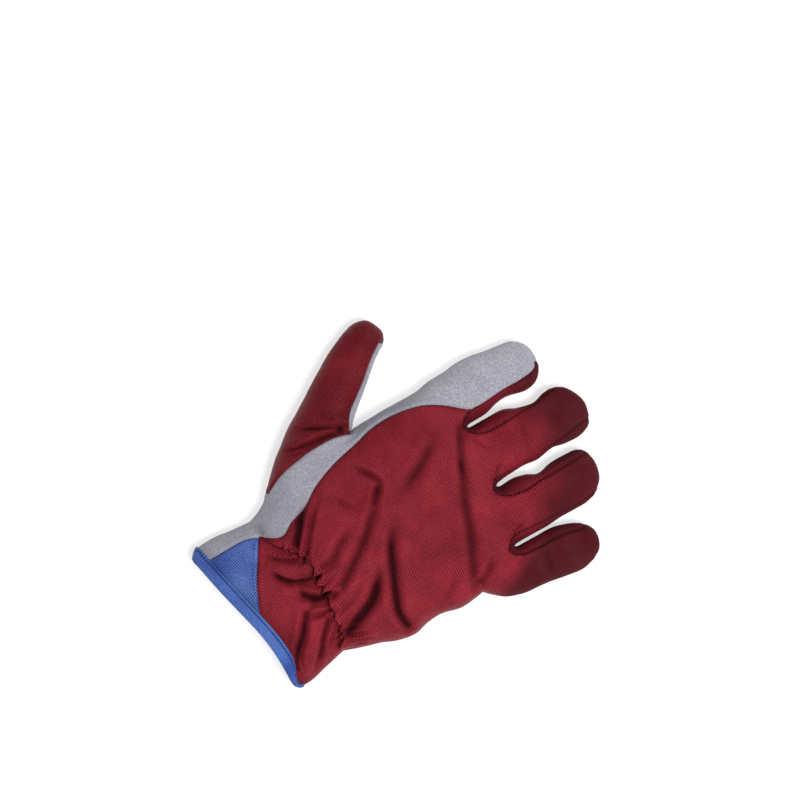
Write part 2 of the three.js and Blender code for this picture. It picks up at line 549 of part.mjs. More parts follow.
wall('ulnarCuff', ulnarRest, ROWS.cuff, UNDER.cuff, even(SIDE), UNDER_SIDE, cornerAt.ulnarElastic, cornerAt.ulnarBand, 'back_panel');
wall('ulnarBand', ulnarBand, ROWS.band, UNDER.band, even(SIDE), UNDER_SIDE, cornerAt.ulnarBand, cornerAt.ulnarCuff, 'back_panel');

slitCorners.forEach((corners, i) => {
  for (const [a, b] of [[corners[0], corners[1]], [corners[1], corners[2]]]) {
    quad(a.top, b.top, b.upper, a.upper, FOURCHETTES[i]);
    quad(a.upper, b.upper, b.lower, a.lower, FOURCHETTES[i]);
    quad(a.lower, b.lower, b.bottom, a.bottom, FOURCHETTES[i]);
  }
});

// ---- Top sheet -----------------------------------------------------------
/** New vertices along a line of plan points; the given ends are reused. */
function seamLine(points, segments, height, start, end) {
  return spread(points, segments).map((p, i) => {
    if (i === 0 && start !== undefined) return start;
    if (i === segments && end !== undefined) return end;
    return vertex(p.x, p.y, height(p.x, p.y));
  });
}

const ids = (name, row = 'top') => walls[name][row];
const up = (...names) => names.flatMap((name, i) => ids(name).slice(i ? 1 : 0));

// The cuff's end and the line where the binding stops, one band further in.
const bandShift = new THREE.Vector3(-0.12, 1, 0).normalize().multiplyScalar(BAND);
const cuffTop = spread(OUTLINE.cuff, 200);
const topCuffPoint = (x) => cuffTop.reduce((best, p) => (Math.abs(p.x - x) < Math.abs(best.x - x) ? p : best)).clone();
const bandTopPoint = (x) => topCuffPoint(x).add(bandShift);

const apex = vertex(-39, 35, topHeight(-39, 35));
const stripAtCuff = vertex(-43, topCuffPoint(-43).y, topHeight(-43, topCuffPoint(-43).y));
const backAtCuff = vertex(12, topCuffPoint(12).y, topHeight(12, topCuffPoint(12).y));
const stripAtBand = (() => { const p = bandTopPoint(-42.4); return vertex(p.x, p.y, topHeight(p.x, p.y)); })();
const backAtBand = (() => { const p = bandTopPoint(4); return vertex(p.x, p.y, topHeight(p.x, p.y)); })();

const ventLeft = seamLine([vertices[stripAtBand], ...OUTLINE.ventRadial], ROWS.cuff, topHeight, stripAtBand, apex);
const ventRight = seamLine([vertices[backAtBand], ...OUTLINE.ventUlnar], ROWS.cuff, topHeight, backAtBand, apex);

/** Vertices along the cuff between two given ones. */
function cuffRow(startId, endId, segments, place) {
  const [a, b] = [vertices[startId], vertices[endId]];
  return Array.from({ length: segments + 1 }, (_, i) => {
    if (i === 0) return startId;
    if (i === segments) return endId;
    const p = place(THREE.MathUtils.lerp(a.x, b.x, i / segments));
    return vertex(p.x, p.y, topHeight(p.x, p.y));
  });
}

const cuffRows = {
  strip: cuffRow(cuffStart.top, stripAtCuff, COLUMNS.edge, topCuffPoint),
  vent: cuffRow(stripAtCuff, backAtCuff, COLUMNS.vent, topCuffPoint),
  back: cuffRow(backAtCuff, cornerAt.ulnarCuff.top, COLUMNS.cuffBack, topCuffPoint),
};
const bandRows = {
  strip: cuffRow(cornerAt.radialBand.top, stripAtBand, COLUMNS.edge, bandTopPoint),
  vent: cuffRow(stripAtBand, backAtBand, COLUMNS.vent, bandTopPoint),
  back: cuffRow(backAtBand, cornerAt.ulnarBand.top, COLUMNS.cuffBack, bandTopPoint),
};
zip(cuffRows.strip, bandRows.strip, 'palm_panel');
zip(cuffRows.vent, bandRows.vent, 'vent_gusset');
zip(cuffRows.back, bandRows.back, 'back_panel');

// Grey strip beside the vent.
const stripElastic = [cornerAt.radialElastic.top, apex];
patch({ bottom: bandRows.strip, top: stripElastic, left: ids('radialCuff'), right: ventLeft }, topHeight, 'palm_panel');

// The vent narrows to its apex row by row.
{
  let below = bandRows.vent;
  for (let i = 1; i <= ROWS.cuff; i += 1) {
    const count = Math.max(0, Math.round(COLUMNS.vent * (1 - i / ROWS.cuff)));
    const row = i === ROWS.cuff
      ? [apex]
      : straight(vertices[ventLeft[i]], vertices[ventRight[i]], Math.max(1, count)).map((p, j, all) => {
        if (j === 0) return ventLeft[i];
        if (j === all.length - 1) return ventRight[i];
        return vertex(p.x, p.y, topHeight(p.x, p.y));
      });
    zip(below, row, 'vent_gusset');
    below = row;
  }
}

// Back below the elastic. Pleats are raised on every other column.
const BACK_COLUMNS = 3 * COLUMNS.finger + 3 * COLUMNS.slit;
const pleat = (x, y, rowsAway, j) => {
  const side = Math.min(1, (j - 1) / 3, (BACK_COLUMNS - 1 - j) / 3);
  return topHeight(x, y) + GATHER_HEIGHT * side * (j % 2 ? 1 : -1) * Math.exp(-((rowsAway / GATHER_REACH) ** 2));
};
const elasticRow = spread(OUTLINE.elastic, BACK_COLUMNS).map((p, j) => {
  if (j === 0) return apex;
  if (j === BACK_COLUMNS) return cornerAt.ulnarElastic.top;
  return vertex(p.x, p.y, pleat(p.x, p.y, 0, j));
});
const ulnarCuffUp = flip(ids('ulnarCuff'));
const lowRow = (() => {
  const points = straight(vertices[ventRight[1]], vertices[ulnarCuffUp[1]], BACK_COLUMNS);
  return points.map((p, j) => {
    if (j === 0) return ventRight[1];
    if (j === BACK_COLUMNS) return ulnarCuffUp[1];
    return vertex(p.x, p.y, pleat(p.x, p.y, ROWS.cuff - 1, j));
  });
})();
zip(bandRows.back, lowRow, 'back_panel');
patch(
  { bottom: lowRow, top: elasticRow, left: ventRight.slice(1), right: ulnarCuffUp.slice(1) },
  (x, y, i, j) => pleat(x, y, ROWS.cuff - 1 - i, j), 'back_panel',
);

// Hand: the grey strip up to the index finger and the back up to the knuckles.
const stripSeam = seamLine(OUTLINE.stripSeam, HAND_ROWS, topHeight, apex, slitCorners[0][0].top);
const thumbSeam = seamLine(OUTLINE.thumbSeam, ROWS.thumb, topHeight, cornerAt.wrist.top, cornerAt.thumbRoot.top);
const stripLeft = [...ids('radialWrist'), ...thumbSeam.slice(1), ...ids('radialKnuckle').slice(1)];
const stripTopPoints = straight(vertices[cornerAt.indexRoot.top], vertices[slitCorners[0][0].top], COLUMNS.strip);
const stripTop = stripTopPoints.map((p, j, all) => {
  if (j === 0) return cornerAt.indexRoot.top;
  if (j === all.length - 1) return slitCorners[0][0].top;
  return vertex(p.x, p.y, topHeight(p.x, p.y));
});
{
  // First row widens from one column to three.
  const second = straight(vertices[stripLeft[1]], vertices[stripSeam[1]], COLUMNS.strip).map((p, j, all) => {
    if (j === 0) return stripLeft[1];
    if (j === all.length - 1) return stripSeam[1];
    return vertex(p.x, p.y, topHeight(p.x, p.y));
  });
  zip(stripElastic, second, 'palm_panel');
  patch({ bottom: second, top: stripTop, left: stripLeft.slice(1), right: stripSeam.slice(1) }, topHeight, 'palm_panel');
}

/** Row of vertices straight across the root of a finger. */
function rootRow(a, b, columns, height) {
  return straight(vertices[a], vertices[b], columns).map((p, j) => {
    if (j === 0) return a;
    if (j === columns) return b;
    return vertex(p.x, p.y, height(p.x, p.y));
  });
}

const topRoots = [
  null,
  rootRow(slitCorners[0][2].top, slitCorners[1][0].top, COLUMNS.finger, topHeight),
  rootRow(slitCorners[1][2].top, slitCorners[2][0].top, COLUMNS.finger, topHeight),
  rootRow(slitCorners[2][2].top, cornerAt.littleRoot.top, COLUMNS.finger, topHeight),
];
const knuckleRow = [
  slitCorners[0][0].top, slitCorners[0][1].top, ...topRoots[1],
  slitCorners[1][1].top, ...topRoots[2],
  slitCorners[2][1].top, ...topRoots[3],
];
patch(
  { bottom: elasticRow, top: knuckleRow, left: stripSeam, right: flip(ids('ulnarHand')) },
  (x, y, i, j) => pleat(x, y, i, j), 'back_panel',
);

// Backs of the fingers.
DIGITS.forEach((digit, i) => {
  const panel = i === 0 ? 'palm_panel' : 'back_panel';
  const left = ids(`${digit.name}Outer`);
  const right = flip(ids(`${digit.name}Inner`));
  if (i > 0) {
    patch({ bottom: topRoots[i], top: ids(`${digit.name}Tip`), left, right }, topHeight, panel);
    return;
  }
  const second = rootRow(left[1], right[1], COLUMNS.finger, topHeight);
  zip(stripTop, second, panel);
  patch({ bottom: second, top: ids(`${digit.name}Tip`), left: left.slice(1), right: right.slice(1) }, topHeight, panel);
});

// Back of the thumb: it grows sideways out of the hand.
patch({ bottom: thumbSeam, top: ids('thumbTip'), left: ids('thumbOuter'), right: flip(ids('thumbInner')) }, topHeight, 'thumb_back');

// ---- Underside -----------------------------------------------------------
const under = (name) => ids(name, 'bottom');
const underCuffPoint = (x) => topCuffPoint(x);
const underBandPoint = (x) => bandTopPoint(x);
const UNDER_COLUMNS = 4 * UNDER.finger + 3 * UNDER.slit;

/** A row of underside vertices across the cuff. */
function underRow(startId, endId, segments, place) {
  const [a, b] = [vertices[startId], vertices[endId]];
  return Array.from({ length: segments + 1 }, (_, i) => {
    if (i === 0) return startId;
    if (i === segments) return endId;
    const p = place(THREE.MathUtils.lerp(a.x, b.x, i / segments));
    return vertex(p.x, p.y, underHeight(p.x, p.y));
  });
}

const UNDER_CUFF = 16;
const cuffUnder = underRow(cuffStart.bottom, cornerAt.ulnarCuff.bottom, UNDER_CUFF, underCuffPoint);
const bandUnder = underRow(cornerAt.radialBand.bottom, cornerAt.ulnarBand.bottom, UNDER_CUFF, underBandPoint);
zip(flip(cuffUnder), flip(bandUnder), 'palm_panel');

const keystone = seamLine(OUTLINE.keystone, UNDER.thumb, underHeight, cornerAt.wrist.bottom, cornerAt.thumbRoot.bottom);
const underLeft = [...under('radialCuff'), ...under('radialWrist').slice(1), ...keystone.slice(1), ...under('radialKnuckle').slice(1)];
const underRight = flip([...under('ulnarHand'), ...under('ulnarCuff').slice(1)]);
const underRoots = [
  rootRow(cornerAt.indexRoot.bottom, slitCorners[0][0].bottom, UNDER.finger, underHeight),
  rootRow(slitCorners[0][2].bottom, slitCorners[1][0].bottom, UNDER.finger, underHeight),
  rootRow(slitCorners[1][2].bottom, slitCorners[2][0].bottom, UNDER.finger, underHeight),
  rootRow(slitCorners[2][2].bottom, cornerAt.littleRoot.bottom, UNDER.finger, underHeight),
];
const underKnuckles = underRoots.flatMap((row, i) => (i ? [slitCorners[i - 1][1].bottom, ...row] : row));
{
  const second = rootRow(underLeft[1], underRight[1], UNDER_COLUMNS, underHeight);
  zip(flip(bandUnder), flip(second), 'palm_panel');
  patch({ bottom: second, top: underKnuckles, left: underLeft.slice(1), right: underRight.slice(1) }, underHeight, 'palm_panel', { turned: true });
}
DIGITS.forEach((digit, i) => {
  patch(
    { bottom: underRoots[i], top: under(`${digit.name}Tip`), left: under(`${digit.name}Outer`), right: flip(under(`${digit.name}Inner`)) },
    underHeight, 'palm_panel', { turned: true },
  );
});
patch(
  { bottom: keystone, top: under('thumbTip'), left: under('thumbOuter'), right: flip(under('thumbInner')) },
  underHeight, 'thumb_front', { turned: true, relax: 30 },
);

// ---- Thickness -----------------------------------------------------------
/** Directions that carry a wall of even thickness round the skin's corners. */
function mitredNormals() {
  const sums = vertices.map(() => new THREE.Vector3());
  const around = vertices.map(() => []);
  for (const { a, b, c } of faces) {
    const [p, q, r] = [vertices[a], vertices[b], vertices[c]];
    const normal = q.clone().sub(p).cross(r.clone().sub(p)).normalize();
    for (const [i, s, t, u] of [[a, p, q, r], [b, q, r, p], [c, r, p, q]]) {
      const angle = t.clone().sub(s).angleTo(u.clone().sub(s));
      sums[i].addScaledVector(normal, angle);
      around[i].push([normal, angle]);
    }
  }
  return sums.map((sum, i) => {
    const normal = sum.normalize();
    let [share, total] = [0, 0];
    for (const [face, angle] of around[i]) {
      share += angle * Math.max(0.2, face.dot(normal));
      total += angle;
    }
    return normal.multiplyScalar(Math.min(MITRE_LIMIT, total / share));
  });
}

const mitred = mitredNormals();

/** The closed solid of one panel: its faces, their offset, and its cut edges. */
function panelGeometry(panel) {
  const own = faces.filter((face) => face.panel === panel);
  const edges = new Map();
  for (const { a, b, c } of own) {
    for (const [s, t, u] of [[a, b, c], [b, c, a], [c, a, b]]) {
      const twin = `${t}_${s}`;
      if (edges.has(twin)) edges.delete(twin);
      else edges.set(`${s}_${t}`, [s, t, u]);
    }
  }
  // Cut edges draw back from the seam.
  const inward = new Map();
  for (const [s, t, u] of edges.values()) {
    const line = vertices[t].clone().sub(vertices[s]).normalize();
    const away = vertices[u].clone().sub(vertices[s]);
    away.addScaledVector(line, -away.dot(line)).normalize();
    for (const i of [s, t]) {
      if (!inward.has(i)) inward.set(i, []);
      inward.get(i).push(away);
    }
  }
  const number = new Map();
  const positions = [];
  const put = (p) => positions.push(p.x, p.y, p.z) / 3 - 1;
  for (const { a, b, c } of own) {
    for (const i of [a, b, c]) {
      if (number.has(i)) continue;
      const shift = new THREE.Vector3();
      if (inward.has(i)) {
        const list = inward.get(i);
        for (const direction of list) shift.add(direction);
        shift.normalize();
        const share = list.reduce((sum, direction) => sum + direction.dot(shift), 0) / list.length;
        shift.multiplyScalar(SEAM_GAP / Math.max(0.6, share));
      }
      const outer = vertices[i].clone().add(shift);
      const inner = outer.clone().addScaledVector(mitred[i], -WALL);
      number.set(i, [put(outer), put(inner)]);
    }
  }
  const index = [];
  for (const { a, b, c } of own) {
    const [p, q, r] = [number.get(a), number.get(b), number.get(c)];
    index.push(p[0], q[0], r[0], p[1], r[1], q[1]);
  }
  for (const [s, t] of edges.values()) {
    const [p, q] = [number.get(s), number.get(t)];
    // Both panels of a seam split its cut face along the same diagonal.
    if (s < t) index.push(p[0], p[1], q[1], p[0], q[1], q[0]);
    else index.push(p[0], p[1], q[0], p[1], q[1], q[0]);
  }
  const geometry = new THREE.BufferGeometry();
  geometry.setAttribute('position', new THREE.Float32BufferAttribute(positions, 3));
  geometry.setIndex(index);
  return geometry;
}

/** The folded band round the cuff: a U over the panels' ends. */
function bindingGeometry() {
  const endRing = [
    ...cuffRows.strip, ...cuffRows.vent.slice(1), ...cuffRows.back.slice(1),
    cornerAt.ulnarCuff.upper, cornerAt.ulnarCuff.lower, ...flip(cuffUnder), cuffStart.lower, cuffStart.upper,
  ];
  const bandRing = [
    ...bandRows.strip, ...bandRows.vent.slice(1), ...bandRows.back.slice(1),
    cornerAt.ulnarBand.upper, cornerAt.ulnarBand.lower, ...flip(bandUnder), cornerAt.radialBand.lower, cornerAt.radialBand.upper,
  ];
  const [near, far] = [BINDING_CLEARANCE, BINDING_CLEARANCE + BINDING_WALL];
  // lift is measured out from the panels' face, past from their end.
  const profile = [
    { ring: bandRing, lift: near, past: 0 },
    { ring: bandRing, lift: far, past: 0 },
    { ring: endRing, lift: far, past: 0.4 },
    { ring: endRing, lift: -WALL / 2, past: BINDING_NOSE },
    { ring: endRing, lift: -WALL - far, past: 0.4 },
    { ring: bandRing, lift: -WALL - far, past: 0 },
    { ring: bandRing, lift: -WALL - near, past: 0 },
    { ring: endRing, lift: -WALL - near, past: 0.35 },
    { ring: endRing, lift: near, past: 0.35 },
  ];
  const positions = [];
  const count = endRing.length;
  for (let i = 0; i < count; i += 1) {
    const axis = vertices[endRing[i]].clone().sub(vertices[bandRing[i]]).normalize();
    for (const { ring, lift, past } of profile) {
      const p = vertices[ring[i]].clone().addScaledVector(mitred[ring[i]], lift).addScaledVector(axis, past);
      positions.push(p.x, p.y, p.z);
    }
  }
  const index = [];
  const steps = profile.length;
  const span = (p, q) => vertices[p].distanceToSquared(vertices[q]);
  for (let i = 0; i < count; i += 1) {
    const next = (i + 1) % count;
    // The legs fold along the same diagonals as the panels between them.
    const endFirst = span(endRing[i], bandRing[next]) <= span(endRing[next], bandRing[i]);
    for (let k = 0; k < steps; k += 1) {
      const after = (k + 1) % steps;
      const [a, b] = [i * steps + k, i * steps + after];
      const [c, d] = [next * steps + k, next * steps + after];
      const fromEnd = profile[k].ring === endRing;
      if (fromEnd === endFirst) index.push(a, b, d, a, d, c);
      else index.push(a, b, c, b, d, c);
    }
  }
  const geometry = new THREE.BufferGeometry();
  geometry.setAttribute('position', new THREE.Float32BufferAttribute(positions, 3));
  geometry.setIndex(index);
  return geometry;
}

// ---- The glove -----------------------------------------------------------
const PANELS = [
  { name: 'palm_panel', look: GREY },
  { name: 'back_panel', look: RED },
  { name: 'fourchette_index_middle', look: RED },
  { name: 'fourchette_middle_ring', look: RED },
  { name: 'fourchette_ring_little', look: RED },
  { name: 'thumb_front', look: GREY },
  { name: 'thumb_back', look: RED },
  { name: 'vent_gusset', look: LIGHT_BLUE },
];

const glove = new THREE.Group();
for (const { name, look } of PANELS) {
  const mesh = new THREE.Mesh(panelGeometry(name), new THREE.MeshStandardMaterial({ ...look, name }));
  mesh.name = name;
  glove.add(mesh);
}
const binding = new THREE.Mesh(bindingGeometry(), new THREE.MeshStandardMaterial({ ...BLUE, name: 'cuff_binding' }));
binding.name = 'cuff_binding';
glove.add(binding);

// The origin is the middle of the space that the glove takes, on the surface
// that it lies on.
const box = new THREE.Box3().setFromObject(glove, true);
const middle = box.getCenter(new THREE.Vector3());
for (const mesh of glove.children) mesh.geometry.translate(-middle.x, -middle.y, -box.min.z);

export default glove;
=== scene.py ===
"""Right-hand work glove of synthetic leather, lying palm down.

The glove is drawn once as one fine skin in millimetres, in the plan frame of
its cutting tables: x towards the little finger, y along the fingers, z up.
Every face of the skin belongs to a sewn panel. Each panel then becomes a
closed piece of cloth with its own thickness, seams, folds and finish.
"""

import logging
import math
from collections.abc import Callable
from dataclasses import dataclass, field
from enum import Enum

import bpy
import numpy as np
from mathutils import Matrix, Vector
from mathutils.bvhtree import BVHTree
from mathutils.kdtree import KDTree
from mathutils.noise import noise

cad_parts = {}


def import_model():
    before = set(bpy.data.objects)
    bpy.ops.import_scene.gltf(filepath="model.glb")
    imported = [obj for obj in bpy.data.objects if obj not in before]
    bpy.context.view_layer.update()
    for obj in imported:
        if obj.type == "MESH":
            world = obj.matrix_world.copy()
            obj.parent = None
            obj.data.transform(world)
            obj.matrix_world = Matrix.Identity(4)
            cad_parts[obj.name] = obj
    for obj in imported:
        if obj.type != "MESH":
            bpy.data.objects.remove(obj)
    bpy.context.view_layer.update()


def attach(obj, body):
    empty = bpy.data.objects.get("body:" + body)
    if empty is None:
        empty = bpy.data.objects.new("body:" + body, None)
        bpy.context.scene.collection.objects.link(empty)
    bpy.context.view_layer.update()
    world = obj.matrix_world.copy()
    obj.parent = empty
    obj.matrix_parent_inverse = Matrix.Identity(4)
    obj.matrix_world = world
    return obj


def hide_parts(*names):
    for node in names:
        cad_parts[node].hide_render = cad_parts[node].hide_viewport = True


log = logging.getLogger("work_glove")

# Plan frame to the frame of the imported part, in millimetres.
FRAME_SHIFT = np.array([17.2947, -124.2071, 0.0212])
MM = 0.001

Run = list[tuple[float, float]]
Colour = tuple[float, float, float, float]


class Panel(Enum):
    """The sewn pieces, by the name of the solid each one stands for."""

    PALM = "palm_panel"
    BACK = "back_panel"
    INDEX_MIDDLE = "fourchette_index_middle"
    MIDDLE_RING = "fourchette_middle_ring"
    RING_LITTLE = "fourchette_ring_little"
    THUMB_FRONT = "thumb_front"
    THUMB_BACK = "thumb_back"
    VENT = "vent_gusset"


FOURCHETTES = [Panel.INDEX_MIDDLE, Panel.MIDDLE_RING, Panel.RING_LITTLE]


# ---- Cutting tables ---------------------------------------------------------
CUFF: Run = [
    (-49, -8), (-39, -5.6), (-23, -2.6), (-5, 0.9), (11, 3.9), (27, 5.9), (43, 5.8), (50, 4.8), (54.5, 4.9), (57, 6.6),
]
RADIAL_CUFF: Run = [(-49, -8), (-53.4, -3), (-54, 7), (-52, 21), (-50.5, 35)]
RADIAL_WRIST: Run = [(-50.5, 35), (-53, 43), (-57, 50), (-60.5, 53.5)]
THUMB_SEAM: Run = [(-60.5, 53.5), (-64, 64), (-67, 77), (-68, 90), (-68, 102), (-67, 112), (-64.6, 119.6)]
RADIAL_KNUCKLE: Run = [(-65.8, 121.5), (-66, 140), (-65.5, 158), (-65, 170), (-66, 181)]
ULNAR_CUFF: Run = [(57, 6.6), (57.3, 12), (57, 17), (55, 26), (53.5, 35), (52, 42)]
ULNAR_HAND: Run = [
    (52, 42), (55, 50), (60, 65), (65, 77), (67, 88), (65, 98), (65, 108), (68.3, 121), (68.2, 130.5), (67.2, 138),
]
VENT_RADIAL: Run = [(-43, 14), (-42.5, 26), (-39, 35)]
VENT_ULNAR: Run = [(-15, 19), (-29, 28.5), (-39, 35)]
STRIP_SEAM: Run = [
    (-39, 35), (-34, 42), (-31.5, 49), (-36, 58), (-39.5, 70), (-47, 83), (-52.5, 98), (-57, 118),
    (-60.5, 136), (-60, 150), (-55.5, 168), (-48, 180), (-36, 193),
]
ELASTIC: Run = [
    (-39, 35), (-26, 44), (-16, 51.5), (-5, 54.2), (7, 53), (19, 52), (31, 50.6), (41, 47.6), (52, 42),
]
KEYSTONE: Run = [
    (-60.5, 53.5), (-52.5, 66), (-48, 80), (-48.5, 95), (-53, 107), (-58, 113.5), (-63.4, 118.5),
]
VENT_STITCHES: Run = [(0.5, 11.2), (-14.5, 16.2), (-28.0, 24.8), (-37.5, 31.2)]


@dataclass(frozen=True)
class Digit:
    """One finger's silhouette, walked from its thumb side round the tip.

    Attributes:
        name: the finger.
        rows: rows of faces along it.
        outer: silhouette on the thumb side, root to tip.
        tip: silhouette round the tip.
        inner: silhouette on the other side, tip to root.
        seam_outer: the back's seam on the thumb side, root to tip.
        seam_inner: the back's seam on the other side, tip to root.
        under_outer: inset of the palm's seam on the thumb side.
        under_inner: the same on the other side.
    """

    name: str
    rows: int
    outer: Run
    tip: Run
    inner: Run
    seam_outer: Run
    seam_inner: Run
    under_outer: float = 2.4
    under_inner: float = 2.4


DIGITS = [
    Digit(
        "index", 54,
        [(-66, 181), (-66, 190), (-67, 200), (-66, 212), (-63.5, 222), (-62, 232)],
        [(-62, 232), (-60.5, 238), (-56, 243), (-50, 246), (-45, 246.3), (-40.5, 245.8)],
        [(-40.5, 245.8), (-36, 244.5), (-30, 239), (-28.2, 230), (-31, 216), (-30.5, 208), (-29, 200), (-29, 187.2)],
        [(-63.8, 181), (-63.8, 190), (-64.8, 200), (-63.8, 212), (-61.4, 222), (-59.8, 232)],
        [(-41, 244.4), (-38.3, 243.2), (-36.4, 239.6), (-35.7, 230.3), (-36, 219), (-35.6, 207.5), (-35.7, 200),
         (-35.9, 193)],
    ),
    Digit(
        "middle", 60,
        [(-27, 187.2), (-26.6, 198), (-26, 211), (-22, 219), (-19, 230), (-20.8, 238), (-20.5, 245)],
        [(-20.5, 245), (-17, 251.5), (-10, 256), (-2, 258), (3, 257.2), (8.4, 254.8)],
        [(8.4, 254.8), (12, 252), (15, 244), (14, 233), (12.2, 225), (13.5, 213), (12, 204), (12.2, 193), (13, 183.4)],
        [(-22.6, 186), (-19.6, 194), (-18.6, 202), (-18.6, 210), (-19, 216.5), (-18.8, 222), (-17.8, 230),
         (-19.2, 237), (-19, 244.6)],
        [(7.8, 253.2), (8.2, 248.6), (9, 240.4), (10.4, 231.9), (10.9, 225.3), (11.6, 215), (10.6, 204),
         (10.6, 193), (9.6, 185.4)],
    ),
    Digit(
        "ring", 58,
        [(15, 183.4), (15, 192), (17.5, 201), (21, 208), (19.6, 218), (20, 230), (21, 237), (25, 242)],
        [(25, 242), (32, 243.6), (40, 242.6), (46, 239.5), (51.5, 233)],
        [(51.5, 233), (53.2, 225), (53, 214), (52.8, 204), (53, 194), (52.4, 184), (52, 172.4)],
        [(23.6, 186.5), (24.1, 190), (25.4, 197), (25.2, 204), (25, 209), (25.6, 215), (25.6, 226), (25.8, 237),
         (26, 240.6)],
        [(50.3, 232.4), (51, 226), (50.8, 216), (49.6, 205), (49.0, 196.4), (48.2, 187), (46.9, 180), (47.5, 174.6)],
    ),
    Digit(
        "little", 48,
        [(54, 172.4), (54.6, 184), (55, 194), (56.5, 202), (60.5, 211), (64.5, 216)],
        [(64.5, 216), (70, 219.6), (77, 219.4), (83, 216.5), (87, 210)],
        [(87, 210), (88.4, 201), (86.5, 188), (83.6, 174), (81.6, 160), (77.2, 148.5), (72.4, 142.8), (67.2, 138)],
        [(59.4, 173.5), (60.6, 180), (61.2, 187), (61.4, 194), (62.2, 201), (64, 208), (66, 214.6)],
        [(84.9, 209.4), (86.2, 201), (84.3, 188.4), (81.5, 174.6), (79.4, 160.8), (75.4, 149.8), (71, 144.4),
         (66, 140)],
    ),
]
THUMB = Digit(
    "thumb", 72,
    [(-60.5, 53.5), (-68, 61.5), (-77, 72), (-87, 86), (-96, 101), (-105, 116), (-114, 133), (-121.5, 150)],
    [(-121.5, 150), (-123, 158), (-120.5, 166.5), (-114, 170.5), (-108, 171.5), (-102, 168)],
    [(-102, 168), (-94.5, 156.5), (-86, 146), (-79, 136.5), (-72, 127.5), (-65.8, 121.5)],
    [(-60.2, 55.3), (-66.6, 62.8), (-75.3, 73.4), (-85, 87.4), (-93.9, 102.2), (-102.9, 117.2), (-111.9, 134),
     (-119.4, 150.6)],
    [(-103.4, 166.4), (-96.2, 155.2), (-87.8, 144.6), (-80.9, 135.2), (-73.9, 126.2), (-66.4, 120.4)],
    5.5, 2.4,
)

# Where the back's seam and the palm's seam turn round the slits between fingers.
SLIT_BACK: list[Run] = [
    [(-36, 193), (-29, 183.4), (-21.8, 188)],
    [(9.8, 185), (16, 178.6), (23.6, 186.5)],
    [(47.6, 174), (53.4, 166.6), (59.4, 173.5)],
]
SLIT_UNDER: list[Run] = [
    [(-32.6, 190), (-28, 181), (-23.4, 190)],
    [(9.4, 186), (14, 177.2), (18.6, 186)],
    [(48.4, 175), (53, 166.2), (57.6, 175)],
]

# x, y, crown, middle, round, flat, reach: the height of the top there, the
# height of the widest line, how far in from the edge the top and the underside
# are reached, and how far the row counts.
STATIONS = np.array([
    (-25, 0, 21, 7.5, 40, 15, 20), (30, 8, 21.5, 7.5, 40, 15, 20),
    (-20, 48, 22, 8, 28, 12, 18), (25, 48, 21, 7.5, 30, 12, 18),
    (-30, 95, 28, 9, 26, 11, 22), (25, 92, 26, 9, 26, 11, 22),
    (-35, 145, 25.5, 8.6, 21, 9, 20), (5, 142, 24.5, 8.6, 21, 9, 20), (45, 130, 22.5, 8.4, 20, 9, 18),
    (-49, 190, 20.5, 8.2, 16, 7, 11), (-49, 216, 18.5, 7.8, 15.5, 7, 11), (-48, 238, 16.5, 7.2, 14.5, 7, 9),
    (-7, 196, 20.5, 8.2, 17, 7, 11), (-5, 224, 18.8, 7.8, 16, 7, 11), (-3, 248, 16.5, 7.2, 15, 7, 9),
    (33, 188, 20, 8.2, 17, 7, 11), (36, 212, 18.2, 7.6, 16, 7, 11), (37, 234, 16, 7, 14.5, 7, 9),
    (68, 166, 19, 7.8, 15, 7, 11), (71, 190, 17.5, 7.4, 14.5, 7, 11), (74, 210, 15.5, 6.8, 13.5, 7, 9),
    (-74, 92, 26, 9, 20, 9, 13), (-90, 122, 22.5, 8.4, 18, 8, 13), (-111, 156, 18, 7.4, 14.5, 7, 11),
])

# Places across the back in mm and the angle of the cloth's ribs there in degrees,
# the span and the steps over which they are summed, and the angle on the cuff.
RIB_FAN = ([-60, -38, -28, -18, -8, 12, 30, 50, 70], [20, 19, 15, 8, 1, -2, -6, -8, -14])
FAN_REACH = (-80, 100, 361)
CUFF_RIBS = 15.0
# How far below the elastic's line the hand's ribs still run, in mm.
ELASTIC_PLAY = 0.25

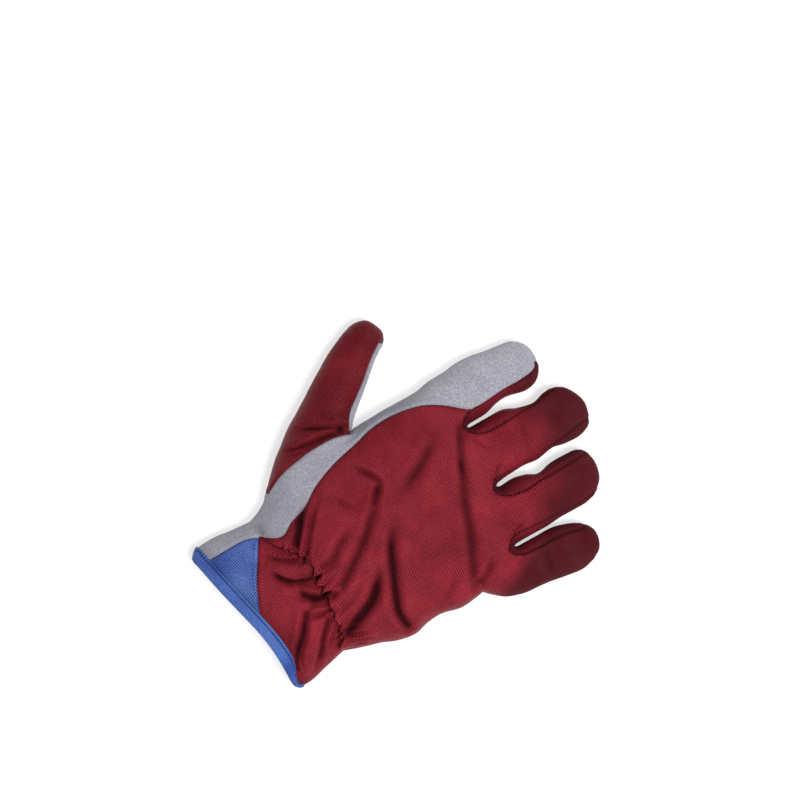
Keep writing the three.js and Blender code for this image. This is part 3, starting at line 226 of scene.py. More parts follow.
# Folds of the back: depth, half width, relative depth at the start and at the
# end, ridge beside it, and the line in plan. A negative depth is a puff.
FOLDS = [
    # Across the back of the hand.
    (2.6, 1.9, 0.3, 0.4, 0.3, [(-47, 110), (-42, 113), (-37, 116), (-32, 118.6), (-28, 119), (-24.5, 115.5),
     (-19, 110)]),
    (2.4, 2.7, 0.5, 0.9, 0.3, [(-24, 115), (-19, 110), (-13, 104), (-8, 98.5), (-3, 92.5), (2.5, 85), (7, 77.5),
     (11.3, 71), (15, 64), (18, 57)]),
    (1.5, 2.0, 0.2, 0.2, 0.3, [(-36, 89), (-30.5, 92), (-26, 94.5), (-22, 97)]),
    (2.0, 2.6, 0.1, 1.0, 0.3, [(-15, 90), (-11, 83), (-7, 75), (-2, 67), (-1, 60)]),
    (3.6, 2.2, 0.4, 1.0, 0.3, [(-40, 72), (-36, 65), (-29, 59.5), (-22, 53)]),
    (2.0, 3.4, 0.2, 1.0, 0.0, [(-38, 66), (-33, 58), (-27, 52)]),
    (2.2, 1.8, 0.2, 1.0, 0.4, [(-41, 81), (-34.7, 74), (-27.6, 67), (-20.6, 60), (-12.7, 54.6)]),
    (4.2, 3.6, 0.3, 0.9, 0.3, [(17, 92), (22, 88), (29, 81), (33.6, 74.6), (37, 67), (40, 58), (42, 51)]),
    (3.8, 3.4, 0.2, 0.9, 0.3, [(-4, 116), (4, 109), (13, 102.5), (23, 97.6), (33, 92.3), (43, 88), (52, 85.6),
     (60, 86)]),
    (2.4, 4.0, 0.3, 0.3, 0.2, [(-35, 165), (-30, 157.5), (-25, 150), (-21, 142), (-18, 134), (-16, 126)]),
    (1.3, 3.0, 0.2, 0.4, 0.3, [(47, 129), (54, 123), (57, 117), (60, 111)]),
    (0.9, 3.0, 0.2, 0.4, 0.3, [(51, 97), (56, 91)]),
    # Under the knuckles.
    (2.3, 2.6, 1.0, 0.3, 0.15, [(-30, 183), (-23.5, 177.5), (-15, 172.5), (-6.6, 168), (3, 163)]),
    (2.4, 3.6, 0.3, 0.9, 0.15, [(-10, 169.5), (-2, 165.5), (9.2, 159.5), (20.9, 155), (33, 149.5), (44.4, 144),
     (54, 139.5), (63, 136)]),
    (1.8, 2.2, 0.2, 0.9, 0.35, [(51, 157), (54, 152), (58, 146), (61, 141)]),
    (0.7, 2.6, 0.2, 0.4, 0.3, [(38, 159), (44, 158), (50, 160)]),
    # On the cuff, from the vent's side to the little finger's.
    (2.4, 1.3, 0.3, 0.9, 0.4, [(-28.6, 33), (-24, 36), (-20.8, 39.4), (-16.3, 46), (-12.4, 53)], 0.8),
    (2.0, 2.8, 0.2, 0.2, 0.0, [(-16, 31), (-10.8, 33), (-6, 36.5), (-3, 40)]),
    (3.2, 1.4, 0.3, 1.0, 0.4, [(-15, 31), (-10.8, 33.2), (-6.5, 36.2), (-3.4, 40), (-0.8, 46), (0.3, 50),
     (1.2, 53.6)], 0.8),
    (4.0, 2.4, 0.3, 1.0, 0.4, [(0.8, 39), (5, 40), (8.6, 42), (11.5, 45), (13.9, 49), (14, 53)], 0.6),
    (2.6, 1.3, 0.3, 0.9, 0.4, [(18, 36), (21, 36.5), (22.5, 41), (23.7, 46), (24, 51)], 0.5),
    (3.4, 2.3, 0.3, 0.8, 0.3, [(13, 45), (15.3, 40.6), (17.8, 35.5), (23.4, 31), (29, 26), (33.4, 21), (38, 16.5),
     (42.7, 13.3), (46.5, 12)]),
    (2.8, 1.7, 0.9, 0.3, 0.4, [(28.5, 46.7), (33, 41.6), (38, 36), (43, 32), (47.4, 27), (51.6, 21.5)]),
    (2.2, 1.6, 0.9, 0.2, 0.4, [(36, 47), (38, 44.5), (42, 39.5), (46, 35.5)]),
    (1.6, 1.3, 0.9, 0.2, 0.4, [(41, 47.5), (43, 44.5), (45.5, 42), (49, 38.7)]),
    (-1.3, 3.0, 0.1, 1.0, 0.0, [(-20, 33), (-13, 38), (-8, 46), (-6, 52)]),
    (-0.8, 2.6, 0.1, 1.0, 0.0, [(-6, 34), (2, 38), (6, 45), (8, 52)]),
    (-1.6, 1.8, 0.5, 0.8, 0.0, [(18, 40), (21, 46), (22, 52)]),
    (-1.5, 3.4, 0.5, 0.2, 0.0, [(28, 37), (34, 30), (42, 24), (50, 15)]),
    (-1.4, 7.0, 0.3, 0.3, 0.0, [(-8, 23), (6, 28), (16, 31)]),
    # At the little finger's side of the elastic.
    (1.2, 1.1, 0.9, 0.1, 0.6, [(41, 49), (42.5, 54), (43, 60)]),
    (1.7, 1.1, 0.9, 0.1, 0.6, [(43.5, 48), (46, 56), (50, 65)]),
    (1.7, 1.0, 0.9, 0.1, 0.6, [(46, 46.5), (50.4, 57), (54, 64)]),
    (1.7, 1.0, 0.9, 0.1, 0.6, [(47.8, 45.4), (53.1, 55.5), (57, 62)]),
    (1.5, 1.0, 0.9, 0.1, 0.6, [(50, 44.4), (55.5, 53), (58.4, 57)]),
    # On the grey strip and the thumb.
    (2.2, 3.0, 0.8, 0.4, 0.3, [(-51, 36), (-44, 38), (-37, 39)]),
    (0.8, 2.4, 0.3, 0.3, 0.3, [(-49, 92), (-53, 86), (-56, 78)]),
    (2.8, 1.7, 0.2, 1.0, 0.35, [(-78, 76), (-75.5, 84), (-73.5, 92), (-72, 100), (-70.5, 108), (-68, 117)]),
    (2.6, 1.5, 0.1, 1.0, 0.35, [(-87, 90), (-80, 102), (-74.5, 111.5), (-69, 119.5)]),
    (1.6, 1.2, 0.2, 0.6, 0.4, [(-73.5, 77), (-71.5, 85), (-70.3, 93), (-69.5, 101)]),
    (1.0, 2.6, 0.1, 0.5, 0.3, [(-90, 107), (-81, 115), (-77, 120)]),
    (2.0, 4.0, 0.2, 0.9, 0.0, [(-83, 138), (-77, 130), (-72, 124), (-69, 120)]),
    # On the fingers.
    (1.1, 3.6, 0.5, 0.3, 0.2, [(-62, 205), (-38, 209)]),
    (0.9, 3.6, 0.3, 0.5, 0.2, [(-18, 216), (8, 211)]),
    (0.9, 3.6, 0.3, 0.5, 0.2, [(26, 208), (49, 204)]),
    (0.9, 3.6, 0.3, 0.5, 0.2, [(61, 187), (84, 182)]),
    (0.7, 1.6, 0.9, 0.1, 0.4, [(-20, 185), (-14, 187), (-9, 191)]),
    (1.3, 1.4, 0.2, 0.9, 0.4, [(3, 193), (5, 189), (8, 185.5), (10, 183)]),
    (1.5, 1.4, 0.3, 0.9, 0.4, [(42, 184), (44, 180.5), (45.5, 176.5), (47, 173)]),
]


# ---- Curves and lines -------------------------------------------------------
def smooth_curve(points: np.ndarray, per_span: int = 40) -> np.ndarray:
    """Samples a smooth curve that passes through every given point.

    Args:
        points: rows of coordinates, in order.
        per_span: samples between two neighbouring points.

    Returns:
        The samples, one row each.
    """
    ends = np.vstack([2 * points[0] - points[1], points, 2 * points[-1] - points[-2]])
    share = np.linspace(0, 1, per_span, endpoint=False)[:, None]
    rows = []
    for i in range(len(points) - 1):
        p0, p1, p2, p3 = ends[i : i + 4]
        d0, d1, d2 = np.maximum(np.linalg.norm(np.diff(ends[i : i + 4], axis=0), axis=1) ** 0.5, 1e-4)
        m1 = ((p1 - p0) / d0 - (p2 - p0) / (d0 + d1) + (p2 - p1) / d1) * d1
        m2 = ((p2 - p1) / d1 - (p3 - p1) / (d1 + d2) + (p3 - p2) / d2) * d1
        rows.append(
            p1 + m1 * share + (3 * (p2 - p1) - 2 * m1 - m2) * share**2 + (2 * (p1 - p2) + m1 + m2) * share**3
        )
    rows.append(points[-1:])
    return np.vstack(rows)


def spread(points: np.ndarray | Run, segments: int, ease: float = 1.0) -> np.ndarray:
    """Places points along the smooth curve through the given ones.

    Args:
        points: the points that the curve passes through.
        segments: how many steps to take.
        ease: 1 for equal steps, more for shorter steps at the start.

    Returns:
        segments + 1 points.
    """
    dense = smooth_curve(np.asarray(points, float))
    run = np.concatenate([[0.0], np.cumsum(np.linalg.norm(np.diff(dense, axis=0), axis=1))])
    at = run[-1] * np.linspace(0, 1, segments + 1) ** ease
    return np.stack([np.interp(at, run, dense[:, k]) for k in range(dense.shape[1])], 1)


def straight(a: np.ndarray, b: np.ndarray, segments: int) -> np.ndarray:
    """Evenly placed points from a to b."""
    return a + (b - a) * np.linspace(0, 1, segments + 1)[:, None]


def smoothstep(value: np.ndarray, low: float, high: float) -> np.ndarray:
    """Rises smoothly from 0 at low to 1 at high."""
    t = np.clip((value - low) / (high - low), 0, 1)
    return t * t * (3 - 2 * t)


def wave(along: np.ndarray, height: float, turns: float, start: float) -> np.ndarray:
    """A sine wave of so many turns over the run from 0 to 1."""
    return height * np.sin(2 * math.pi * (turns * along + start))


@dataclass(frozen=True)
class Falloff:
    """Something that is strongest on a line and fades beside it.

    Attributes:
        strength: how much of it there is on the line.
        reach: distance at which about a third of it is left.
        power: 1 for a pointed course, 2 for a rounded one.
    """

    strength: float
    reach: float
    power: float = 2

    def at(self, gap: np.ndarray) -> np.ndarray:
        """How much is left at a distance from the line."""
        return self.strength * np.exp(-((gap / self.reach) ** self.power))


def unit(rows: np.ndarray) -> np.ndarray:
    """The rows, each scaled to length one."""
    return rows / np.maximum(np.linalg.norm(rows, axis=-1, keepdims=True), 1e-12)


def outwards(points: np.ndarray, reach: int = 4) -> np.ndarray:
    """Outward directions in plan of a silhouette that is walked clockwise.

    Args:
        points: points of the silhouette.
        reach: how many neighbours on each side the direction is taken over.

    Returns:
        One unit row per point.
    """
    n = len(points)
    index = np.arange(n)
    d = unit(points[np.minimum(index + reach, n - 1)] - points[np.maximum(index - reach, 0)])
    return np.stack([-d[:, 1], d[:, 0]], 1)


class PlanLine:
    """A line in plan that tells how near it a place is."""

    def __init__(self, points: np.ndarray | Run) -> None:
        """Keeps the line's points."""
        self.points = np.asarray(points, float)

    def near(self, plan: np.ndarray) -> tuple[np.ndarray, np.ndarray, np.ndarray]:
        """Measures from places to the line.

        Args:
            plan: the places, one row each.

        Returns:
            Distance, how far along the line from 0 to 1, and the side as 1 or -1.
        """
        best = np.full(len(plan), np.inf)
        along = np.zeros(len(plan))
        side = np.ones(len(plan))
        for i in range(len(self.points) - 1):
            a = self.points[i]
            d = self.points[i + 1] - a
            rel = plan - a
            t = np.clip(rel @ d / (d @ d), 0, 1)
            distance = np.hypot(rel[:, 0] - t * d[0], rel[:, 1] - t * d[1])
            closer = distance < best
            best = np.where(closer, distance, best)
            along = np.where(closer, (i + t) / (len(self.points) - 1), along)
            side = np.where(closer, np.sign(d[0] * rel[:, 1] - d[1] * rel[:, 0]), side)
        return best, along, side


def fanned(cloth: np.ndarray) -> np.ndarray:
    """Bends the flat cloth so that its ribs fan out over the back of the hand.

    Args:
        cloth: places on the flat cloth, in mm.

    Returns:
        The places, moved along so that the ribs rise by RIB_FAN's angles, and
        evenly below the elastic.
    """
    across = np.linspace(*FAN_REACH)
    slope = np.tan(np.radians(np.interp(across, *RIB_FAN)))
    rise = np.concatenate([[0.0], np.cumsum((slope[1:] + slope[:-1]) / 2 * np.diff(across))])
    gap, _, side = PlanLine(spread(ELASTIC, 40)).near(cloth)
    on_hand = np.interp(cloth[:, 0], across, rise)
    on_cuff = cloth[:, 0] * math.tan(math.radians(CUFF_RIBS))
    above = gap * side > -ELASTIC_PLAY
    return np.column_stack([cloth[:, 0], cloth[:, 1] - np.where(above, on_hand, on_cuff)])


@dataclass
class Fold:
    """A valley or puff of the cloth along a line in plan, in mm.

    Attributes:
        depth: its depth, negative for a puff.
        half: its half width.
        start: relative depth at the line's start.
        end: relative depth at the line's end.
        ridge: height of the ridges beside it, as a share of the depth.
        run: where it runs.
        lean: 1 makes the left side steep, seen along the run, -1 the right side.
    """

    depth: float
    half: float
    start: float
    end: float
    ridge: float
    run: Run
    lean: float = 0.0

    # Share of the line over which an end fades, how much a lean steepens, and
    # how square the valley is.
    FADE = 0.35
    STEEPNESS = 0.75
    SQUARENESS = 1.7

    def __post_init__(self) -> None:
        """Smooths the line."""
        self.line = PlanLine(spread(self.run, 5 * len(self.run)))

    def relief(self, plan: np.ndarray) -> np.ndarray:
        """Works out the fold's relief.

        Args:
            plan: places in plan.

        Returns:
            The relief at each place, positive outwards.
        """
        reach = 4 * self.half
        low, high = self.line.points.min(0) - reach, self.line.points.max(0) + reach
        near = ((plan > low) & (plan < high)).all(1)
        relief = np.zeros(len(plan))
        if near.any():
            gap, along, side = self.line.near(plan[near])
            gap = gap * np.exp(self.STEEPNESS * self.lean * side)
            ends = np.minimum(
                self.start + (1 - self.start) * smoothstep(along, 0, self.FADE),
                self.end + (1 - self.end) * smoothstep(1 - along, 0, self.FADE),
            )
            valley = Falloff(1, self.half, self.SQUARENESS).at(gap)
            ridges = Falloff(self.ridge, self.half).at(gap - 2 * self.half)
            relief[near] = self.depth * ends * (ridges - valley)
        return relief


class Silhouette:
    """The outline of the lying glove, with a quick way to measure from it."""

    # Steps along a run of the outline, along the hand's outer side and the cuff's.
    STEPS = 40
    HAND_STEPS = 60
    CUFF_STEPS = 20

    def __init__(self) -> None:
        """Joins the outline's runs and sorts their points for searching."""
        runs = [RADIAL_CUFF, RADIAL_WRIST, THUMB.outer, THUMB.tip, THUMB.inner, RADIAL_KNUCKLE]
        for digit in DIGITS:
            runs += [digit.outer, digit.tip, digit.inner]
        lines = [spread(run, self.STEPS) for run in runs]
        lines += [spread(ULNAR_HAND[::-1], self.HAND_STEPS), spread(ULNAR_CUFF[::-1], self.CUFF_STEPS)]
        self.points = np.vstack(lines)
        self.tree = KDTree(len(self.points))
        for i, (x, y) in enumerate(self.points):
            self.tree.insert((x, y, 0), i)
        self.tree.balance()

    def distance(self, plan: np.ndarray) -> np.ndarray:
        """Measures from places to the outline.

        Args:
            plan: places in plan.

        Returns:
            The distances in plan.
        """
        nearest = np.array([self.tree.find((x, y, 0))[1] for x, y in plan])
        best = np.full(len(plan), np.inf)
        last = len(self.points) - 1
        for low in (np.maximum(nearest - 1, 0), np.minimum(nearest, last - 1)):
            a = self.points[low]
            d = self.points[low + 1] - a
            t = np.clip(((plan - a) * d).sum(1) / np.maximum((d * d).sum(1), 1e-9), 0, 1)
            best = np.minimum(best, np.linalg.norm(plan - a - d * t[:, None], axis=1))
        return best


# ---- Heights ----------------------------------------------------------------
@dataclass
class Gathers:
    """What the gathered elastic does to places of the cloth, in mm.

    Attributes:
        shift: how far each place is pulled in plan.
        relief: how far the face stands out.
        lining: how far the inner side stands out.
        shade: painted shade under the gathers' edge and between the puckers, less a
        painted highlight on their lips.
    """

    shift: np.ndarray
    relief: np.ndarray
    lining: np.ndarray
    shade: np.ndarray


@dataclass(frozen=True)
class Elastic:
    """The hidden elastic of the wrist and how it gathers the cloth, in mm.

    Attributes:
        start: x from which it draws the back down.
        dip: how far it does.
        pleats: puckers along it.
        wander: waves that the puckers follow, each as height, turns and start.
        drift: how they lean, in puckers for each mm up the hand.
        bite: share of a pucker over which its tooth comes forward.
        size, swell: mean size of the teeth, and its wave.
        bulge: exponent of a pucker's section, below 1 for full ones.
        pucker, pucker_least: height of the puckers, and its share between two.
        tuck: how deep the cuff lies below them.
        tuck_range: share of it between two puckers, and how much less under one.
        tooth, tooth_middle: how far the edge runs to and fro, and from where.
        slant: sideways share of a tooth's way.
        slow, slow_start, slow_middle: the larger waves, their start and mean.
        lining: how deep the inner side lies under the edge.
        edge: distances from the line between which the edge falls.
        ends, teeth: shares of the line over which gathers and teeth come and go.
        under, between: painted shade under the edge and between the puckers.
        shine: painted highlight that makes a pucker's lip paler.
        darkness: how dark the deepest painted shade is.
        line: where it runs.
    """

    start: float = -38
    dip: Falloff = Falloff(2.4, 7.0)
    pleats: int = 15
    wander: tuple[tuple[float, float, float], ...] = ((0.3, 3.1, 0.2), (0.2, 7.3, 0.6))
    drift: float = 0.05
    bite: float = 0.58
    size: float = 0.85
    swell: tuple[float, float, float] = (0.35, 2.3, 0.1)
    bulge: float = 0.8
    pucker: Falloff = Falloff(2.2, 9.0, 1)
    pucker_least: float = 0.25
    tuck: Falloff = Falloff(1.9, 3.6, 1)
    tuck_range: tuple[float, float] = (1.15, 0.3)
    tooth: Falloff = Falloff(3.8, 4.5)
    tooth_middle: float = 0.45
    slant: float = 0.15
    slow: Falloff = Falloff(0.7, 20, 1.5)
    slow_start: float = 0.31
    slow_middle: float = 0.6
    lining: Falloff = Falloff(2.28, 5.5)
    edge: tuple[float, float] = (-0.5, -0.12)
    ends: tuple[tuple[float, float], tuple[float, float]] = ((0.03, 0.16), (0.0, 0.06))
    teeth: tuple[float, float] = (0.08, 0.26)
    under: Falloff = Falloff(1.0, 2.0, 1)
    between: Falloff = Falloff(0.55, 5.0, 1)
    shine: Falloff = Falloff(0.3, 2.5, 1)
    darkness: float = 0.85
    line: PlanLine = field(default_factory=lambda: PlanLine(spread(ELASTIC, 40)))

    def drop(self, plan: np.ndarray) -> np.ndarray:
        """How far the back is drawn down at places in plan."""
        return np.where(plan[:, 0] > self.start, self.dip.at(self.line.near(plan)[0]), 0)

    def gathers(self, plan: np.ndarray) -> Gathers:
        """Gathers the cloth, so that the hand's side hangs over the cuff's in teeth.

        Args:
            plan: places in plan.

        Returns:
            How the gathers move each place, and the painted shade that they give it.
        """
        gap, along, side = self.line.near(plan)
        signed = gap * side
        above, below = np.maximum(signed, 0), np.maximum(-signed, 0)
        phase = self.pleats * along + sum(wave(along, *row) for row in self.wander) + self.drift * above
        turn = phase - np.floor(phase)
        tooth = np.where(turn < self.bite, turn / self.bite, (1 - turn) / (1 - self.bite))
        hump = np.sin(0.5 * math.pi * tooth) ** self.bulge
        ends = smoothstep(along, *self.ends[0]) * smoothstep(1 - along, *self.ends[1])
        lip = smoothstep(signed, *self.edge)
        large = np.abs(np.sin(math.pi * (phase / 2 + self.slow_start))) ** self.bulge - self.slow_middle
        slow = large * self.slow.at(gap)
        hand = (self.pucker_least + (1 - self.pucker_least) * hump) * self.pucker.at(above)
        cuff = (self.tuck_range[0] - self.tuck_range[1] * hump) * self.tuck.at(below)
        size = ends * smoothstep(along, *self.teeth) * (self.size + wave(along, *self.swell))
        reach = size * (tooth - self.tooth_middle) * self.tooth.at(gap)
        # Painted shade under the edge and between the puckers, less a painted highlight on the lips.
        shade = (1 - lip) * self.under.at(below) + lip * (1 - hump) * self.between.at(above)
        return Gathers(
            shift=np.column_stack([self.slant * reach, -reach, np.zeros(len(plan))]),
            relief=ends * (hand * lip - cuff * (1 - lip) + slow),
            lining=ends * (slow - self.lining.at(gap)),
            shade=self.darkness * ends * (shade - hump * lip * self.shine.at(above)),
        )


@dataclass
class GloveForm:
    """Heights of the lying glove over its plan, in mm.

    Attributes:
        power: 2 gives elliptic sections, more gives boxier ones.
        band: width of the folded cuff binding.
        band_end: its width at the little finger's side.
        cuff_lift: how far the palm is raised over the binding.
        cuff_reach: distance over which the palm comes down again.
        grain: height of the cloth's slow unevenness.
        taper: x between which the binding narrows.
        dip_edge, fold_edge: distances from the outline over which the elastic's
            dip and the folds come in.
        silhouette, elastic, cuff, folds: the outline, the hidden elastic, the
            cuff's edge and the folds of the back.
    """

    power: float = 2.2
    band: float = 7.4
    band_end: float = 2.4
    cuff_lift: float = 1.35
    cuff_reach: float = 26.0
    grain: float = 0.55
    taper: tuple[float, float] = (36, 56.5)
    dip_edge: tuple[float, float] = (1.5, 9)
    fold_edge: tuple[float, float] = (0.5, 7)
    silhouette: Silhouette = field(default_factory=Silhouette)
    elastic: Elastic = field(default_factory=Elastic)
    cuff: PlanLine = field(default_factory=lambda: PlanLine(CUFF))
    folds: list[Fold] = field(default_factory=lambda: [Fold(*row) for row in FOLDS])

    def band_at(self, x: np.ndarray) -> np.ndarray:
        """Width of the binding at places across the cuff."""
        return self.band + (self.band_end - self.band) * smoothstep(x, *self.taper)

    def rounded(self, distance: np.ndarray, reach: np.ndarray) -> np.ndarray:
        """Height share of a rounded section, 0 at its edge and 1 from reach inwards."""
        t = 1 - np.clip(distance / reach, 0, 1)
        return (1 - t**self.power) ** (1 / self.power)

    def inset_of(self, share: np.ndarray, reach: np.ndarray) -> np.ndarray:
        """How far in from the edge a height share is reached."""
        return reach * (1 - (1 - share**self.power) ** (1 / self.power))

    def station(self, plan: np.ndarray) -> dict[str, np.ndarray]:
        """Blends the stations' values.

        Args:
            plan: places in plan.

        Returns:
            Crown, middle, round and flat at each place.
        """
        gap = ((plan[:, None, :] - STATIONS[None, :, :2]) ** 2).sum(2)
        weight = np.exp(-gap / (2 * STATIONS[:, 6] ** 2)) + 1e-9
        weight /= weight.sum(1, keepdims=True)
        values = weight @ STATIONS[:, 2:6]
        return dict(zip(("crown", "middle", "round", "flat"), values.T))

    def top(self, plan: np.ndarray) -> np.ndarray:
        """Works out the top sheet.

        Args:
            plan: places in plan.

        Returns:
            Its heights over them.
        """
        place = self.station(plan)
        distance = self.silhouette.distance(plan)
        z = place["middle"] + (place["crown"] - place["middle"]) * self.rounded(distance, place["round"])
        return z - self.elastic.drop(plan) * smoothstep(distance, *self.dip_edge)

    def under(self, plan: np.ndarray) -> np.ndarray:
        """Works out the underside.

        Args:
            plan: places in plan.

        Returns:
            Its heights below them.
        """
        place = self.station(plan)
        distance = self.silhouette.distance(plan)
        from_cuff = self.cuff.near(plan)[0] - self.band
        lift = self.cuff_lift * (1 - smoothstep(from_cuff, 0, self.cuff_reach))
        return lift + (place["middle"] - lift) * (1 - self.rounded(distance, place["flat"]))

    def creases(self, plan: np.ndarray) -> np.ndarray:
        """Relief of the folds, positive outwards and fading at the edge."""
        relief = sum(fold.relief(plan) for fold in self.folds)
        return relief * smoothstep(self.silhouette.distance(plan), *self.fold_edge)


# ---- Skin -------------------------------------------------------------------
@dataclass(frozen=True)
class Density:
    """Rows and columns of faces, each named for its part of the glove."""

    band: int = 8
    cuff: int = 52
    wrist: int = 32
    thumb: int = 66
    knuckle: int = 60
    strip: int = 18
    finger: int = 36
    slit: int = 10
    vent: int = 26
    upper: int = 8
    lower: int = 5
    under_cuff: int = 16
    under_wrist: int = 10
    under_thumb: int = 33
    under_knuckle: int = 30
    under_finger: int = 15
    under_slit: int = 4

    @property
    def hand(self) -> int:
        """Rows from the elastic to the knuckles."""
        return self.wrist + self.thumb + self.knuckle

    @property
    def back(self) -> int:
        """Columns across the back of the hand."""
        return 3 * (self.finger + self.slit)

    @property
    def column(self) -> int:
        """Places down a side wall, seam to seam."""
        return self.upper + self.lower + 1


Height = Callable[[np.ndarray], np.ndarray]


class Skin:
    """Vertices and faces of the whole glove, each face in a panel."""

    # How many columns beside a notch lie lower, how steeply they rise, and how
    # many rows below it keep their distance.
    NOTCH_REACH = 6
    NOTCH_SLOPE = 0.5
    NOTCH_ROWS = 12

    def __init__(self, room: int = 300_000) -> None:
        """Makes room for the vertices.

        Args:
            room: how many there may be.
        """
        self.points = np.zeros((room, 3))
        self.cloth = np.zeros((room, 2))
        self.count = 0
        self.faces: dict[Panel, list[list[int]]] = {panel: [] for panel in Panel}

    def add(self, points: np.ndarray, cloth: np.ndarray | None = None) -> np.ndarray:
        """Adds vertices.

        Args:
            points: their places.
            cloth: where each lies on the flat cloth; in plan if left out.

        Returns:
            Their numbers.
        """
        ids = np.arange(self.count, self.count + len(points))
        self.points[ids] = points
        self.cloth[ids] = points[:, :2] if cloth is None else cloth
        self.count += len(points)
        return ids

    def add_on(self, plan: np.ndarray, height: Height) -> np.ndarray:
        """Adds vertices over places in plan, at the height given there."""
        return self.add(np.column_stack([plan, height(plan)]))

    def plan(self, ids: np.ndarray) -> np.ndarray:
        """Places in plan of vertices."""
        return self.points[ids, :2]

    def face(self, corners: list[int], panel: Panel) -> None:
        """Adds one face, leaving out corners that repeat and faces without area.

        Args:
            corners: vertex numbers round the face.
            panel: the panel that it belongs to.
        """
        kept = [c for i, c in enumerate(corners) if c != corners[i - 1]]
        if len(set(kept)) >= 3:
            self.faces[panel].append(kept)

    def join(self, lower: np.ndarray, upper: np.ndarray, panel: Panel) -> None:
        """Fills the strip between two rows that run the same way.

        Args:
            lower: vertex numbers on the right hand, seen along the row.
            upper: vertex numbers on the left hand, as many or not.
            panel: the panel that the faces belong to.
        """
        lower, upper = list(map(int, lower)), list(map(int, upper))
        if len(lower) == len(upper):
            for k in range(len(lower) - 1):
                self.face([lower[k], lower[k + 1], upper[k + 1], upper[k]], panel)
            return
        i = j = 0
        while i < len(lower) - 1 or j < len(upper) - 1:
            after_lower = (i + 1) / (len(lower) - 1)
            after_upper = (j + 1) / (len(upper) - 1)
            if j >= len(upper) - 1 or (i < len(lower) - 1 and after_lower <= after_upper + 1e-9):
                self.face([lower[i], lower[i + 1], upper[j]], panel)
                i += 1
            else:
                self.face([lower[i], upper[j + 1], upper[j]], panel)
                j += 1

    def patch(
        self,
        edges: tuple[np.ndarray, np.ndarray, np.ndarray, np.ndarray],
        height: Height,
        panel: Panel,
        turned: bool = False,
        relax: int = 0,
        clear: float = 0.0,
    ) -> np.ndarray:
        """Fills the space between four rows of vertices.

        Args:
            edges: vertex numbers of the bottom, top, left and right rows.
            height: the height over a place in plan.
            panel: the panel that the faces belong to.
            turned: whether the faces look down.
            relax: rounds that even out the inside.
            clear: least step between rows below a notched top row.

        Returns:
            The numbers of the whole grid, rows from bottom to top.
        """
        bottom, top, left, right = edges
        rows, columns = len(left) - 1, len(bottom) - 1
        v = np.linspace(0, 1, rows + 1)[:, None, None]
        u = np.linspace(0, 1, columns + 1)[None, :, None]
        b, t, l, r = (self.plan(e) for e in edges)
        grid = (l[:, None] * (1 - u) + r[:, None] * u) + (b[None] * (1 - v) + t[None] * v)
        grid -= (b[0] * (1 - u) + b[-1] * u) * (1 - v) + (t[0] * (1 - u) + t[-1] * u) * v
        column = np.arange(columns + 1)
        beside = np.abs(column[:, None] - column) <= self.NOTCH_REACH
        reach = t[None, :, 1] + self.NOTCH_SLOPE * np.abs(t[:, None, 0] - t[None, :, 0])
        notch = np.min(np.where(beside, reach, np.inf), axis=1)[None, 1:-1]
        ceiling = notch - clear * np.arange(self.NOTCH_ROWS, 0, -1)[:, None]
        low = slice(-1 - self.NOTCH_ROWS, -1)
        for _ in range(relax):
            grid[1:-1, 1:-1] = (grid[:-2, 1:-1] + grid[2:, 1:-1] + grid[1:-1, :-2] + grid[1:-1, 2:]) / 4
            if clear:
                grid[low, 1:-1, 1] = np.minimum(grid[low, 1:-1, 1], ceiling)
        ids = np.zeros((rows + 1, columns + 1), int)
        inside = grid[1:-1, 1:-1].reshape(-1, 2)
        if len(inside):
            ids[1:-1, 1:-1] = self.add_on(inside, height).reshape(rows - 1, columns - 1)
        ids[0], ids[-1], ids[:, 0], ids[:, -1] = bottom, top, left, right
        step = -1 if turned else 1
        for lower, upper in zip(ids[:-1], ids[1:]):
            self.join(lower[::step], upper[::step], panel)
        return ids

    def triangles(self) -> np.ndarray:
        """Every face as triangles of vertex numbers."""
        faces = [f for rows in self.faces.values() for f in rows]
        return np.array([(f[0], f[k], f[k + 1]) for f in faces for k in range(1, len(f) - 1)])

    def normals(self) -> np.ndarray:
        """Works out the outward directions, weighed by the faces' corners.

        Returns:
            One unit row per vertex.
        """
        tri = self.triangles()
        p = self.points[tri]
        face = unit(np.cross(p[:, 1] - p[:, 0], p[:, 2] - p[:, 0]))
        total = np.zeros((self.count, 3))
        for k in range(3):
            a = unit(p[:, (k + 1) % 3] - p[:, k])
            b = unit(p[:, (k + 2) % 3] - p[:, k])
            angle = np.arccos(np.clip((a * b).sum(1), -1, 1))
            np.add.at(total, tri[:, k], face * angle[:, None])
        return unit(total)


@dataclass
class Wall:
    """A run of side wall as a grid of vertex numbers.

    Attributes:
        rows: the rows from the back's seam down, all but the lowest.
        bottom: the lowest row, which may have fewer vertices.
    """

    rows: np.ndarray
    bottom: np.ndarray

    @property
    def top(self) -> np.ndarray:
        """The back's seam."""
        return self.rows[0]


